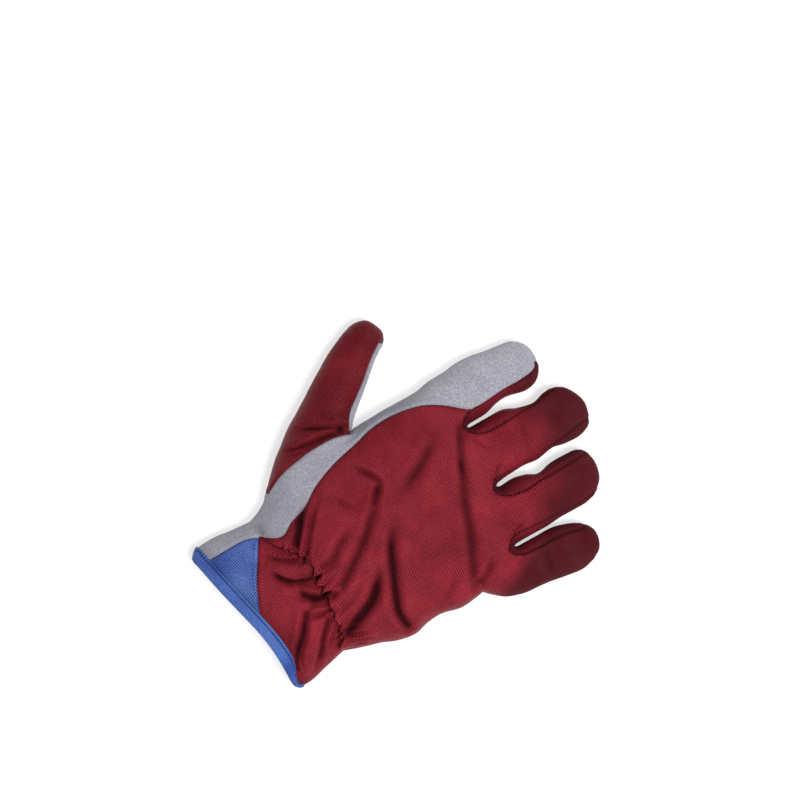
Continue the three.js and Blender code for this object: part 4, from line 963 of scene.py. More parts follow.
class SkinCutter:
    """Draws the skin of the glove from the cutting tables."""

    # Insets of the back's and the palm's seam from the outline, how round the
    # slits' columns are, which way the binding runs in from the cuff's edge, and
    # the steps along the cuff's sides.
    SIDE = 2.2
    UNDER_SIDE = 2.6
    SLIT_SHARE = 0.8
    SLANT = unit(np.array([-0.12, 1.0]))
    CUFF_STEPS = 240
    # Where the vent's two sides meet the cuff's edge and the binding's edge.
    VENT_AT_CUFF = np.array([-43.0, 12.0])
    VENT_AT_BAND = np.array([-42.4, 4.0])

    def __init__(self, form: GloveForm, density: Density) -> None:
        """Starts an empty skin.

        Args:
            form: heights of the glove.
            density: rows and columns of faces.
        """
        self.form = form
        self.density = density
        self.cuff_line = spread(CUFF, 600)
        self.skin = Skin()
        self.walls: dict[str, Wall] = {}
        self.slits: list[Wall] = []
        # Grids under the tape.
        self.grids: dict[str, np.ndarray] = {}
        self.column_shares: dict[int, tuple[float, float]] = {}

    # Columns of a side wall ------------------------------------------------
    def column_points(
        self, edge: np.ndarray, seam: np.ndarray, under: np.ndarray, shares: tuple[np.ndarray, np.ndarray]
    ) -> tuple[np.ndarray, np.ndarray]:
        """Lays columns of a side wall, from the back's seam to the palm's.

        Args:
            edge: silhouette points.
            seam: plan points of the back's seam beside them.
            under: plan points of the palm's seam beside them.
            shares: how round each column is above and below its widest point.

        Returns:
            Places as rows by columns, and where they lie on the flat cloth.
        """
        form, density = self.form, self.density
        middle = form.station(edge)["middle"]
        rows = []
        for goal, height, count, share in (
            (seam, form.top(seam), density.upper, shares[0]),
            (under, form.under(under), density.lower, shares[1]),
        ):
            part = []
            for k in range(count + 1):
                w = form.inset_of(k / count * share, 1.0) / form.inset_of(share, 1.0)
                z = middle + (height - middle) * k / count
                part.append(np.column_stack([edge + (goal - edge) * w[:, None], z]))
            rows += part[::-1] if goal is seam else part[1:]
        places = np.array(rows)
        step = np.linalg.norm(np.diff(places, axis=0), axis=2)
        down = np.vstack([np.zeros(len(edge)), np.cumsum(step, axis=0)])
        cloth = seam[None] + unit(edge - seam)[None] * down[:, :, None]
        return places, cloth

    def shares(self, edge: np.ndarray, seam: np.ndarray, under: np.ndarray) -> tuple[np.ndarray, np.ndarray]:
        """Works out how round columns are from how far in their seams lie.

        Args:
            edge: silhouette points.
            seam: plan points of the back's seam beside them.
            under: plan points of the palm's seam beside them.

        Returns:
            The shares above and below the widest point.
        """
        place = self.form.station(edge)
        return (
            self.form.rounded(np.linalg.norm(edge - seam, axis=1), place["round"]),
            self.form.rounded(np.linalg.norm(edge - under, axis=1), place["flat"]),
        )

    def add_column(self, edge: np.ndarray, seam: np.ndarray, under: np.ndarray, share: float = 0.0) -> np.ndarray:
        """Adds the upright column where two runs of wall meet.

        Args:
            edge: the silhouette's corner.
            seam: the back's seam there.
            under: the palm's seam there.
            share: how round the column is, or 0 to work it out.

        Returns:
            The column's vertex numbers.
        """
        rows = edge[None], seam[None], under[None]
        shares = (np.array([share]),) * 2 if share else self.shares(*rows)
        places, cloth = self.column_points(*rows, shares)
        ids = self.skin.add(places[:, 0], cloth[:, 0])
        self.column_shares[int(ids[0])] = (float(shares[0][0]), float(shares[1][0]))
        return ids

    def corner(self, edge: np.ndarray, out: np.ndarray, back: float, under: float) -> np.ndarray:
        """Adds a corner column with the back's and the palm's seam set in against the outward direction."""
        return self.add_column(edge, edge - out * back, edge - out * under)

    def wall(
        self,
        name: str,
        run: np.ndarray | Run,
        segments: tuple[int, int],
        back: Run | float,
        under: float,
        ends: tuple[np.ndarray, np.ndarray],
        panel: Panel,
    ) -> None:
        """Builds one named run of wall between two corners.

        Args:
            name: what the run is called later.
            run: silhouette points, walked clockwise.
            segments: faces along the wall and along its lowest row.
            back: the back's seam, as its line or as its inset.
            under: inset of the palm's seam.
            ends: vertex numbers of the first and the last column.
            panel: the panel that the wall belongs to.
        """
        plan = self.skin.plan
        rows = []
        for count in segments:
            edge = spread(run, count)
            out = outwards(edge, max(1, round(4 * count / segments[0])))
            seam = edge - out * back if isinstance(back, float) else spread(back, count)
            low = edge - out * under
            share = np.linspace(0, 1, count + 1)
            fades = (1 - smoothstep(share, 0, 0.25), smoothstep(share, 0.75, 1))
            for line, row in ((seam, 0), (low, -1)):
                for end, fade in zip((0, -1), fades):
                    line += (plan(ends[end][row]) - line[end]) * fade[:, None]
            rows.append((edge, seam, low, fades))
        edge, seam, low, fades = rows[0]
        shares = self.shares(edge, seam, low)
        for end, fade in zip((0, -1), fades):
            for line, goal in zip(shares, self.column_shares[int(ends[end][0])]):
                line += (goal - line[end]) * fade
        places, cloth = self.column_points(edge, seam, low, shares)
        ids = np.zeros((self.density.column, len(edge)), int)
        ids[:, 0], ids[:, -1] = ends
        inner = self.skin.add(places[:-1, 1:-1].reshape(-1, 3), cloth[:-1, 1:-1].reshape(-1, 2))
        ids[:-1, 1:-1] = inner.reshape(self.density.column - 1, -1)
        bottom = self.skin.add_on(rows[1][2][1:-1], self.form.under)
        bottom = np.concatenate([[ends[0][-1]], bottom, [ends[1][-1]]]).astype(int)
        self.close_wall(name, ids[:-1], bottom, panel)

    def close_wall(self, name: str, rows: np.ndarray, bottom: np.ndarray, panel: Panel) -> Wall:
        """Adds the faces of a wall and keeps it under its name.

        Args:
            name: what the run is called later.
            rows: vertex numbers from the back's seam down, all but the lowest row.
            bottom: vertex numbers of the lowest row.
            panel: the panel that the wall belongs to.

        Returns:
            The wall.
        """
        made = Wall(rows, bottom)
        for upper, lower in zip(rows[:-1], rows[1:]):
            self.skin.join(upper, lower, panel)
        self.skin.join(rows[-1], bottom, panel)
        self.walls[name] = made
        return made

    def between(self, before: Run, after: Run) -> np.ndarray:
        """Finds the outward direction where two runs of the silhouette meet.

        Args:
            before: the run that ends there.
            after: the run that starts there.

        Returns:
            The direction in plan.
        """
        a, b = spread(before, 30), spread(after, 30)
        d = unit(unit(a[30] - a[28]) + unit(b[2] - b[0]))
        return np.array([-d[1], d[0]])

    def band_steps(self, line: np.ndarray, width: float) -> int:
        """The steps that a binding of that width covers on a side of the cuff, a multiple of four."""
        length = np.linalg.norm(np.diff(line, axis=0), axis=1).sum()
        return round(self.CUFF_STEPS / 4 * width / length) * 4

    # The parts of the skin --------------------------------------------------
    def cut(self) -> None:
        """Builds the side walls, the top sheet and the underside."""
        self.cut_walls()
        self.cut_cuff()
        self.cut_hand()
        self.cut_fingers()
        self.cut_underside()

    def cut_walls(self) -> None:
        """Builds every run of side wall, from the cuff round the fingers."""
        d = self.density
        side, under = self.SIDE, self.UNDER_SIDE
        radial, ulnar = spread(RADIAL_CUFF, self.CUFF_STEPS), spread(ULNAR_CUFF, self.CUFF_STEPS)
        a, b = self.band_steps(radial, self.form.band), self.band_steps(ulnar, self.form.band_end)
        radial_band, radial_rest = radial[: a + 1], radial[a:]
        ulnar_band, ulnar_rest = ulnar[: b + 1][::-1], ulnar[b:][::-1]
        hand, between = ULNAR_HAND[::-1], self.between
        index, little = DIGITS[0], DIGITS[3]
        # Name, place on the outline, outward direction, insets of the two seams.
        corner = self.corners = {
            name: self.corner(np.array(place, float), out, back, low)
            for name, place, out, back, low in (
                ("cuff_start", radial[0], unit(np.array([-0.97, -0.1])), side, under),
                ("radial_band", radial_rest[0], outwards(radial)[a], side, under),
                ("radial_elastic", radial[-1], between(RADIAL_CUFF, RADIAL_WRIST), side, under),
                ("wrist", RADIAL_WRIST[-1], between(RADIAL_WRIST, THUMB.outer), 1.6, 3),
                ("thumb_outer", THUMB.tip[0], between(THUMB.outer, THUMB.tip), 2.2, 4),
                ("thumb_inner", THUMB.tip[-1], between(THUMB.tip, THUMB.inner), 2, 2.4),
                ("thumb_root", THUMB.inner[-1], unit(np.array([-0.62, 0.78])), 2.4, 3.8),
                ("index_root", RADIAL_KNUCKLE[-1], between(RADIAL_KNUCKLE, index.outer), side, under),
                ("little_root", little.inner[-1], between(little.inner, hand), side, 3.4),
                ("ulnar_elastic", ulnar[-1], between(hand, ULNAR_CUFF[::-1]), side, under),
                ("ulnar_band", ulnar_band[0], outwards(ulnar[::-1])[self.CUFF_STEPS - b], side, under),
                ("ulnar_cuff", ulnar[0], unit(np.array([0.8, 0.6])), side, under),
            )
        }
        for digit in DIGITS:
            for end, place, seam, depth, runs in (
                ("outer", digit.tip[0], digit.seam_outer[-1], digit.under_outer, (digit.outer, digit.tip)),
                ("inner", digit.tip[-1], digit.seam_inner[0], digit.under_inner, (digit.tip, digit.inner)),
            ):
                edge = np.array(place, float)
                corner[f"{digit.name}_{end}"] = self.add_column(
                    edge, np.array(seam, float), edge - self.between(*runs) * depth
                )
        slit_ends = self.cut_slits()

        palm, back, thumb = Panel.PALM, Panel.BACK, Panel.THUMB_BACK
        # Name, run, faces along it and along its lowest row, the two seams, first
        # and last corner, panel.
        half = THUMB.rows // 2
        before = (
            ("radial_band", radial_band, (d.band, d.band), side, under, "cuff_start", "radial_band", palm),
            ("radial_cuff", radial_rest, (d.cuff, d.under_cuff), side, under, "radial_band", "radial_elastic", palm),
            ("radial_wrist", RADIAL_WRIST, (d.wrist, d.under_wrist), 1.9, 2.8, "radial_elastic", "wrist", palm),
            ("thumb_outer", THUMB.outer, (THUMB.rows, half), THUMB.seam_outer, THUMB.under_outer,
             "wrist", "thumb_outer", thumb),
            ("thumb_tip", THUMB.tip, (d.thumb, d.under_thumb), 2.2, 3.2, "thumb_outer", "thumb_inner", thumb),
            ("thumb_inner", THUMB.inner, (THUMB.rows, half), THUMB.seam_inner, THUMB.under_inner,
             "thumb_inner", "thumb_root", Panel.THUMB_FRONT),
            ("radial_knuckle", RADIAL_KNUCKLE, (d.knuckle, d.under_knuckle), side, under,
             "thumb_root", "index_root", palm),
        )
        under_hand = d.under_wrist + d.under_thumb + d.under_knuckle
        after = (
            ("ulnar_hand", hand, (d.hand, under_hand), side, under, "little_root", "ulnar_elastic", back),
            ("ulnar_cuff", ulnar_rest, (d.cuff, d.under_cuff), side, under, "ulnar_elastic", "ulnar_band", back),
            ("ulnar_band", ulnar_band, (d.band, d.band), side, under, "ulnar_band", "ulnar_cuff", back),
        )
        for name, run, rows, seam, low, first, last, panel in before:
            self.wall(name, run, rows, seam, low, (corner[first], corner[last]), panel)
        for i, digit in enumerate(DIGITS):
            start = corner["index_root"] if i == 0 else slit_ends[i - 1][1]
            end = corner["little_root"] if i == 3 else slit_ends[i][0]
            tips = (corner[f"{digit.name}_outer"], corner[f"{digit.name}_inner"])
            rows = (digit.rows, digit.rows // 2)
            self.wall(f"{digit.name}_outer", digit.outer, rows, digit.seam_outer, digit.under_outer,
                      (start, tips[0]), palm if i == 0 else FOURCHETTES[i - 1])
            self.wall(f"{digit.name}_tip", digit.tip, (d.finger, d.under_finger), 2.6, 2.4, tips,
                      palm if i == 0 else back)
            self.wall(f"{digit.name}_inner", digit.inner, rows, digit.seam_inner, digit.under_inner,
                      (tips[1], end), back if i == 3 else FOURCHETTES[i])
        for name, run, rows, seam, low, first, last, panel in after:
            self.wall(name, run, rows, seam, low, (corner[first], corner[last]), panel)

    def cut_slits(self) -> list[tuple[np.ndarray, np.ndarray]]:
        """Builds the walls that turn round the roots of the slits.

        Returns:
            The first and the last column of each slit.
        """
        d = self.density
        ends = []
        for i, (back, under) in enumerate(zip(SLIT_BACK, SLIT_UNDER)):
            before, after = np.array(DIGITS[i].inner[-1], float), np.array(DIGITS[i + 1].outer[0], float)
            middle = (before + after) / 2 - np.array([0, 1.6])
            edge = spread(np.array([before, middle, after]), d.slit)
            seam, low = spread(back, d.slit), spread(under, d.slit)
            columns = [self.add_column(*place, self.SLIT_SHARE) for place in zip(edge, seam, low)]
            ids = np.array(columns).T
            inner = self.skin.add_on(spread(under, d.under_slit)[1:-1], self.form.under)
            bottom = np.concatenate([[ids[-1, 0]], inner, [ids[-1, -1]]]).astype(int)
            self.slits.append(self.close_wall(f"slit_{i}", ids[:-1], bottom, FOURCHETTES[i]))
            ends.append((ids[:, 0], ids[:, -1]))
        return ends

    def seam(
        self, points: np.ndarray | Run, segments: int, height: Height, start: int, end: int, ease: float = 1.0
    ) -> np.ndarray:
        """Adds a row of vertices along a seam, between two that exist.

        Args:
            points: the seam in plan.
            segments: how many steps to take.
            height: the height over a place in plan.
            start: the first vertex.
            end: the last vertex.
            ease: 1 for equal steps, more for shorter steps at the start.

        Returns:
            The row's vertex numbers.
        """
        line = np.array(points, float)
        line[0], line[-1] = self.skin.plan(start), self.skin.plan(end)
        inner = self.skin.add_on(spread(line, segments, ease)[1:-1], height)
        return np.concatenate([[start], inner, [end]]).astype(int)

    def at_cuff(self, x: np.ndarray) -> np.ndarray:
        """Places on the cuff's edge."""
        return np.column_stack([x, np.interp(x, self.cuff_line[:, 0], self.cuff_line[:, 1])])

    def slide(self, x: np.ndarray) -> np.ndarray:
        """How far the binding's inner edge lies beside the cuff's edge at x."""
        return self.SLANT[0] * self.form.band_at(x)

    def at_band(self, x: np.ndarray) -> np.ndarray:
        """Places on the binding's inner edge, in from the cuff's edge at x."""
        return self.at_cuff(x) + self.SLANT * self.form.band_at(x)[:, None]

    def cuff_row(
        self, start: int, end: int, columns: int, place: Height, height: Height, slide: Height
    ) -> np.ndarray:
        """Adds a row of vertices across the cuff, between two that exist.

        Args:
            start: the first vertex.
            end: the last vertex.
            columns: how many steps to take.
            place: the place in plan for an x.
            height: the height over a place in plan.
            slide: how far the place lies beside that x.

        Returns:
            The row's vertex numbers.
        """
        points = self.skin.points
        x = np.linspace(points[start, 0], points[end, 0], columns + 1)[1:-1]
        return np.concatenate([[start], self.skin.add_on(place(x - slide(x)), height), [end]]).astype(int)

    def cut_cuff(self) -> None:
        """Builds the top of the cuff: strip, vent and back, with the band."""
        d, skin, top = self.density, self.skin, self.form.top
        self.apex = int(skin.add_on(np.array([VENT_RADIAL[-1]], float), top)[0])
        strip_cuff, back_cuff = skin.add_on(self.at_cuff(self.VENT_AT_CUFF), top)
        strip_band, back_band = skin.add_on(self.at_band(self.VENT_AT_BAND), top)
        c, walls, plan = self.corners, self.walls, skin.plan
        columns = (d.strip, d.vent, d.back)
        cuff_rows, band_rows = (
            [self.cuff_row(*pair, count, place, top, slide) for *pair, count in zip(stops, stops[1:], columns)]
            for stops, place, slide in (
                ((c["cuff_start"][0], strip_cuff, back_cuff, c["ulnar_cuff"][0]), self.at_cuff, np.zeros_like),
                ((c["radial_band"][0], strip_band, back_band, c["ulnar_band"][0]), self.at_band, self.slide),
            )
        )
        strip_seam, back_seam = (
            self.seam(np.array([plan(a), plan(b)]), d.band, top, a, b)
            for a, b in ((strip_cuff, strip_band), (back_cuff, back_band))
        )
        sides = [walls["radial_band"].top, strip_seam, back_seam, walls["ulnar_band"].top[::-1]]
        for name, k, panel in (("strip", 0, Panel.PALM), ("vent", 1, Panel.VENT), ("back", 2, Panel.BACK)):
            self.grids[name] = skin.patch((cuff_rows[k], band_rows[k], sides[k], sides[k + 1]), top, panel)
        vent_left = self.seam([tuple(plan(strip_band)), *VENT_RADIAL], d.cuff, top, strip_band, self.apex)
        vent_right = self.seam([tuple(plan(back_band)), *VENT_ULNAR], d.cuff, top, back_band, self.apex)
        self.elastic_strip = self.root(c["radial_elastic"][0], self.apex, d.strip, top)
        skin.patch((band_rows[0], self.elastic_strip, walls["radial_cuff"].top, vent_left), top, Panel.PALM)
        point = np.full(d.vent + 1, self.apex)
        skin.patch((band_rows[1], point, vent_left, vent_right), top, Panel.VENT)
        self.elastic_row = self.seam(ELASTIC, d.back, top, self.apex, c["ulnar_elastic"][0])
        sides = (vent_right, walls["ulnar_cuff"].top[::-1])
        skin.patch((band_rows[2], self.elastic_row, *sides), top, Panel.BACK, relax=80)

    def root(self, start: int, end: int, columns: int, height: Height) -> np.ndarray:
        """Adds a straight row of vertices, as across the root of a finger."""
        inner = straight(self.skin.plan(start), self.skin.plan(end), columns)[1:-1]
        return np.concatenate([[start], self.skin.add_on(inner, height), [end]]).astype(int)

    def cut_hand(self) -> None:
        """Builds the back of the hand, the grey strip and the thumb's back."""
        d, form, skin, walls = self.density, self.form, self.skin, self.walls
        slit_tops = [slit.top for slit in self.slits]
        strip_seam = self.seam(STRIP_SEAM, d.hand, form.top, self.apex, slit_tops[0][0], 1.25)
        thumb_seam = self.seam(THUMB_SEAM, d.thumb, form.top, self.corners["wrist"][0], self.corners["thumb_root"][0])
        left = np.concatenate([walls["radial_wrist"].top, thumb_seam[1:], walls["radial_knuckle"].top[1:]])
        # The strip has fewer columns than the finger that it ends on.
        self.strip_end = self.root(self.corners["index_root"][0], slit_tops[0][0], d.strip, form.top)
        skin.patch((self.elastic_strip, self.strip_end, left, strip_seam), form.top, Panel.PALM, relax=40)
        ends = [slit_tops[0][-1], slit_tops[1][0], slit_tops[1][-1], slit_tops[2][0], slit_tops[2][-1],
                self.corners["little_root"][0]]
        self.roots = [self.root(ends[2 * k], ends[2 * k + 1], d.finger, form.top) for k in range(3)]
        knuckles = np.concatenate([
            slit_tops[0], self.roots[0][1:], slit_tops[1][1:], self.roots[1][1:], slit_tops[2][1:], self.roots[2][1:],
        ])
        skin.patch(
            (self.elastic_row, knuckles, strip_seam, walls["ulnar_hand"].top[::-1]), form.top, Panel.BACK,
            relax=300, clear=0.55,
        )
        skin.patch(
            (thumb_seam, walls["thumb_tip"].top, walls["thumb_outer"].top, walls["thumb_inner"].top[::-1]),
            form.top, Panel.THUMB_BACK, relax=500,
        )

    def cut_fingers(self) -> None:
        """Builds the backs of the fingers."""
        form, skin, walls = self.form, self.skin, self.walls
        for i, digit in enumerate(DIGITS):
            left, right = walls[f"{digit.name}_outer"].top, walls[f"{digit.name}_inner"].top[::-1]
            tip = walls[f"{digit.name}_tip"].top
            if i:
                skin.patch((self.roots[i - 1], tip, left, right), form.top, Panel.BACK)
                continue
            second = self.root(left[1], right[1], self.density.finger, form.top)
            skin.join(self.strip_end, second, Panel.PALM)
            skin.patch((second, tip, left[1:], right[1:]), form.top, Panel.PALM)

    def cut_underside(self) -> None:
        """Builds the palm, the undersides of the fingers and the thumb's front."""
        d, form, skin, walls, c = self.density, self.form, self.skin, self.walls, self.corners
        columns = 4 * d.under_finger + 3 * d.under_slit
        move = self.slide(np.zeros(1))
        ends = (c["cuff_start"][-1], c["ulnar_cuff"][-1]), (c["radial_band"][-1], c["ulnar_band"][-1])
        cuff = self.cuff_row(*ends[0], columns, self.at_cuff, form.under, np.zeros_like)
        band = self.cuff_row(*ends[1], columns, self.at_band, form.under, lambda x: move)
        self.grids["under"] = skin.patch(
            (cuff, band, walls["radial_band"].bottom, walls["ulnar_band"].bottom[::-1]), form.under, Panel.PALM, True
        )
        keystone = self.seam(KEYSTONE, d.under_thumb, form.under, c["wrist"][-1], c["thumb_root"][-1])
        left = np.concatenate([
            walls["radial_cuff"].bottom, walls["radial_wrist"].bottom[1:], keystone[1:],
            walls["radial_knuckle"].bottom[1:],
        ])
        right = np.concatenate([walls["ulnar_hand"].bottom, walls["ulnar_cuff"].bottom[1:]])[::-1]
        slits = [slit.bottom for slit in self.slits]
        starts = [c["index_root"][-1], slits[0][-1], slits[1][-1], slits[2][-1]]
        stops = [slits[0][0], slits[1][0], slits[2][0], c["little_root"][-1]]
        roots = [self.root(a, b, d.under_finger, form.under) for a, b in zip(starts, stops)]
        knuckles = roots[0]
        for k in range(3):
            knuckles = np.concatenate([knuckles, slits[k][1:], roots[k + 1][1:]])
        skin.patch((band, knuckles, left, right), form.under, Panel.PALM, True, relax=80, clear=0.5)
        for i, digit in enumerate(DIGITS):
            skin.patch(
                (roots[i], walls[f"{digit.name}_tip"].bottom, walls[f"{digit.name}_outer"].bottom,
                 walls[f"{digit.name}_inner"].bottom[::-1]),
                form.under, Panel.PALM, True,
            )
        skin.patch(
            (keystone, walls["thumb_tip"].bottom, walls["thumb_outer"].bottom, walls["thumb_inner"].bottom[::-1]),
            form.under, Panel.THUMB_FRONT, True, relax=900,
        )


# ---- Cloth ------------------------------------------------------------------
def to_frame(points: np.ndarray) -> np.ndarray:
    """Plan-frame millimetres as metres in the part's frame."""
    return (points + FRAME_SHIFT) * MM


def linked(name: str, data: bpy.types.ID) -> bpy.types.Object:
    """Makes an object and links it to the scene.

    Args:
        name: the object's name.
        data: its mesh, light or camera.

    Returns:
        The object.
    """
    made = bpy.data.objects.new(name, data)
    bpy.context.scene.collection.objects.link(made)
    return made


@dataclass
class ClothMesh:
    """A closed piece of cloth, before it becomes an object.

    Attributes:
        points: places in mm in the plan frame.
        faces: corners of each face.
        flat: where each place lies on the flat cloth, in mm.
        hollow: painted shade at each place, in folds and other shaded places;
        negative for a painted highlight.
        sharp: angle in degrees from which an edge stays sharp.
    """

    points: np.ndarray
    faces: list[list[int]]
    flat: np.ndarray
    hollow: np.ndarray
    sharp: float = 75

    def build(self, name: str, material: bpy.types.Material) -> bpy.types.Object:
        """Makes an object with a flat-cloth map.

        Args:
            name: the piece's name.
            material: its finish.

        Returns:
            The object, linked to the scene.
        """
        mesh = bpy.data.meshes.new(name)
        places = to_frame(self.points)
        places[:, 2] = np.maximum(places[:, 2], 0.0)
        mesh.from_pydata(places.tolist(), [], self.faces)
        mesh.validate()
        layer = mesh.uv_layers.new(name="cloth")
        corner = np.zeros(len(mesh.loops), np.int32)
        mesh.loops.foreach_get("vertex_index", corner)
        layer.data.foreach_set("uv", (self.flat[corner] * MM).astype(np.float32).ravel())
        # Painted shade and painted highlight go to the finishes as a mesh attribute.
        depth = mesh.attributes.new("hollow", "FLOAT", "POINT")
        depth.data.foreach_set("value", self.hollow.astype(np.float32))
        mesh.shade_smooth()
        mesh.set_sharp_from_angle(angle=math.radians(self.sharp))
        mesh.materials.append(material)
        return linked(name, mesh)


@dataclass
class SewnCloth:
    """Turns the skin into sewn cloth: seams, creases and thickness, in mm.

    Attributes:
        cutter: holds the skin.
        wall: thickness of a panel.
        gap, steep_gap: how far a panel's face stays back from a seam, and the
            share of it that upright cloth keeps.
        groove, steep_groove: the same for how deep a seam lies.
        roll, roll_middle: the soft edges beside a seam, and how far off they lie.
        upward: how far cloth must look up to be on top.
        free: distances past the tape's edge over which cloth may fold.
        deep: depth of a fold that gets the full painted shade.
            seam_shade, tape_shade, strip_shade, root_shade: painted shade beside a
            seam, the tape and the grey strip, and in the slits' roots.
        strip_part: shares of the strip's seam over which its painted shade comes and goes.
    """

    cutter: SkinCutter
    wall: float = 2.0
    gap: float = 0.07
    steep_gap: float = 0.15
    groove: Falloff = Falloff(0.75, 1.0)
    steep_groove: float = 0.2
    roll: Falloff = Falloff(0.3, 1.2)
    roll_middle: float = 2.4
    upward: tuple[float, float] = (0.1, 0.55)
    free: tuple[float, float] = (0.2, 5)
    deep: float = 3.0
    seam_shade: Falloff = Falloff(0.3, 0.7)
    tape_shade: Falloff = Falloff(0.42, 5.5, 1.4)
    strip_shade: Falloff = Falloff(0.3, 8.0)
    strip_part: tuple[tuple[float, float], tuple[float, float]] = ((0.02, 0.12), (0.38, 0.58))
    root_shade: Falloff = Falloff(0.7, 15.0)

    def __post_init__(self) -> None:
        """Works out the outer and the inner place of every vertex of the skin."""
        skin, form = self.cutter.skin, self.cutter.form
        self.points = skin.points[: skin.count].copy()
        self.normals = skin.normals()
        plan, up = self.points[:, :2], self.normals[:, 2]
        away = self.seam_distance()
        on_top = smoothstep(up, *self.upward)
        gathered = on_top * self.touched({Panel.BACK})
        gathers, creases = form.elastic.gathers(plan), form.creases(plan)
        # Painted shade for the finishes: darker in folds, beside seams, the tape and the grey strip, and in the slits'
        # roots.
        self.hollow = self.shade_to_paint(on_top, away, creases, gathers.shade)
        slow = np.array([
            noise(Vector((x * 0.05, y * 0.05, z * 0.05))) + 0.4 * noise(Vector((x * 0.12 + 7, y * 0.12, z * 0.12)))
            for x, y, z in self.points
        ])
        folds = on_top * creases
        relief = folds + gathered * gathers.relief + form.grain * slow * smoothstep(up, -0.9, 0.2)
        relief += self.roll.at(away - self.roll_middle) - self.level(self.steep_groove) * self.groove.at(away)
        free = smoothstep(form.cuff.near(plan)[0] - form.band, *self.free)
        pulled = self.points + gathers.shift * (gathered * free)[:, None]
        self.outer = pulled + self.normals * (relief * free)[:, None]
        self.outer[:, 2] = np.maximum(self.outer[:, 2], -FRAME_SHIFT[2])
        inner = (folds + gathered * gathers.lining) * free - self.wall
        self.lining = pulled + self.normals * inner[:, None]

    def level(self, least: float) -> np.ndarray:
        """One where cloth lies level, down to the given share where it stands upright."""
        return least + (1 - least) * smoothstep(np.abs(self.normals[:, 2]), 0.1, 0.5)

    def shade_to_paint(self, on_top: np.ndarray, away: np.ndarray, creases: np.ndarray, shade: np.ndarray) -> np.ndarray:
        """Works out the painted shade of each vertex, in folds and beside seams, for the finishes.

        Args:
            on_top: 1 on the top sheet, 0 elsewhere.
            away: distance from the nearest seam.
            creases: relief of the folds.
            shade: painted shade of the gathers.

        Returns:
            0 on level cloth, 1 at the bottom of a deep fold, in painted shade.
        """
        form, plan = self.cutter.form, self.points[:, :2]
        red = self.touched({Panel.BACK})
        folds = np.maximum(np.clip(-creases / self.deep, 0, 1) ** 1.2, red * shade)
        taped = np.maximum(form.cuff.near(plan)[0] - form.band_at(plan[:, 0]), 0)
        gap, along, _ = PlanLine(spread(STRIP_SEAM, 40)).near(plan)
        part = smoothstep(along, *self.strip_part[0]) * smoothstep(1 - along, *self.strip_part[1])
        roots = [np.linalg.norm(plan - np.array(line[1], float), axis=1) for line in SLIT_BACK]
        return np.max([
            on_top * folds,
            self.seam_shade.at(away),
            on_top * self.tape_shade.at(taped),
            on_top * red * part * self.strip_shade.at(gap),
            self.touched(set(FOURCHETTES)) * self.root_shade.at(np.min(roots, axis=0)),
        ], axis=0)

    def touched(self, panels: set[Panel]) -> np.ndarray:
        """Marks the vertices that belong to a face of some panels.

        Args:
            panels: the panels.

        Returns:
            True for each such vertex.
        """
        mask = np.zeros(self.cutter.skin.count, bool)
        for panel in panels:
            for f in self.cutter.skin.faces[panel]:
                mask[f] = True
        return mask

    def seam_distance(self) -> np.ndarray:
        """Measures from the vertices to the seams between panels.

        Returns:
            Every vertex's distance from the nearest seam.
        """
        skin = self.cutter.skin
        uses = sum(self.touched({panel}).astype(int) for panel in Panel)
        seam = np.flatnonzero(uses > 1)
        tree = KDTree(len(seam))
        for i in seam:
            tree.insert(skin.points[i], int(i))
        tree.balance()
        return np.array([tree.find(p)[2] for p in skin.points[: skin.count]])

    def boundary(self, faces: list[list[int]]) -> dict[tuple[int, int], list[int]]:
        """Finds the open edges of a panel.

        Args:
            faces: the panel's faces.

        Returns:
            Each open edge with the face that it belongs to.
        """
        edges: dict[tuple[int, int], list[int]] = {}
        for f in faces:
            for s, t in zip(f, f[1:] + f[:1]):
                if (t, s) in edges:
                    del edges[(t, s)]
                else:
                    edges[(s, t)] = f
        return edges

    def panel(self, panel: Panel) -> ClothMesh:
        """Closes one panel: its face, its lining side and its cut edges.

        Args:
            panel: the panel.

        Returns:
            The closed cloth.
        """
        skin = self.cutter.skin
        faces = skin.faces[panel]
        edges = self.boundary(faces)
        used = sorted({i for f in faces for i in f})
        number = {i: k for k, i in enumerate(used)}
        shift = np.zeros((len(used), 3))
        for (s, t), f in edges.items():
            line = unit(self.points[t] - self.points[s])
            away = self.points[f].mean(0) - self.points[s]
            away = unit(away - line * (away @ line))
            shift[number[s]] += away
            shift[number[t]] += away
        wide = self.level(self.steep_gap)[used, None]
        shift = unit(shift) * self.gap * wide * (np.linalg.norm(shift, axis=1, keepdims=True) > 1e-9)
        count = len(used)
        made = [[number[i] for i in f] for f in faces]
        made += [[number[i] + count for i in reversed(f)] for f in faces]
        for s, t in edges:
            a, b = number[s], number[t]
            made.append([a, a + count, b + count, b])
        places = np.vstack([self.outer[used] + shift, self.lining[used]])
        return ClothMesh(places, made, np.tile(skin.cloth[used], (2, 1)), np.tile(self.hollow[used], 2))


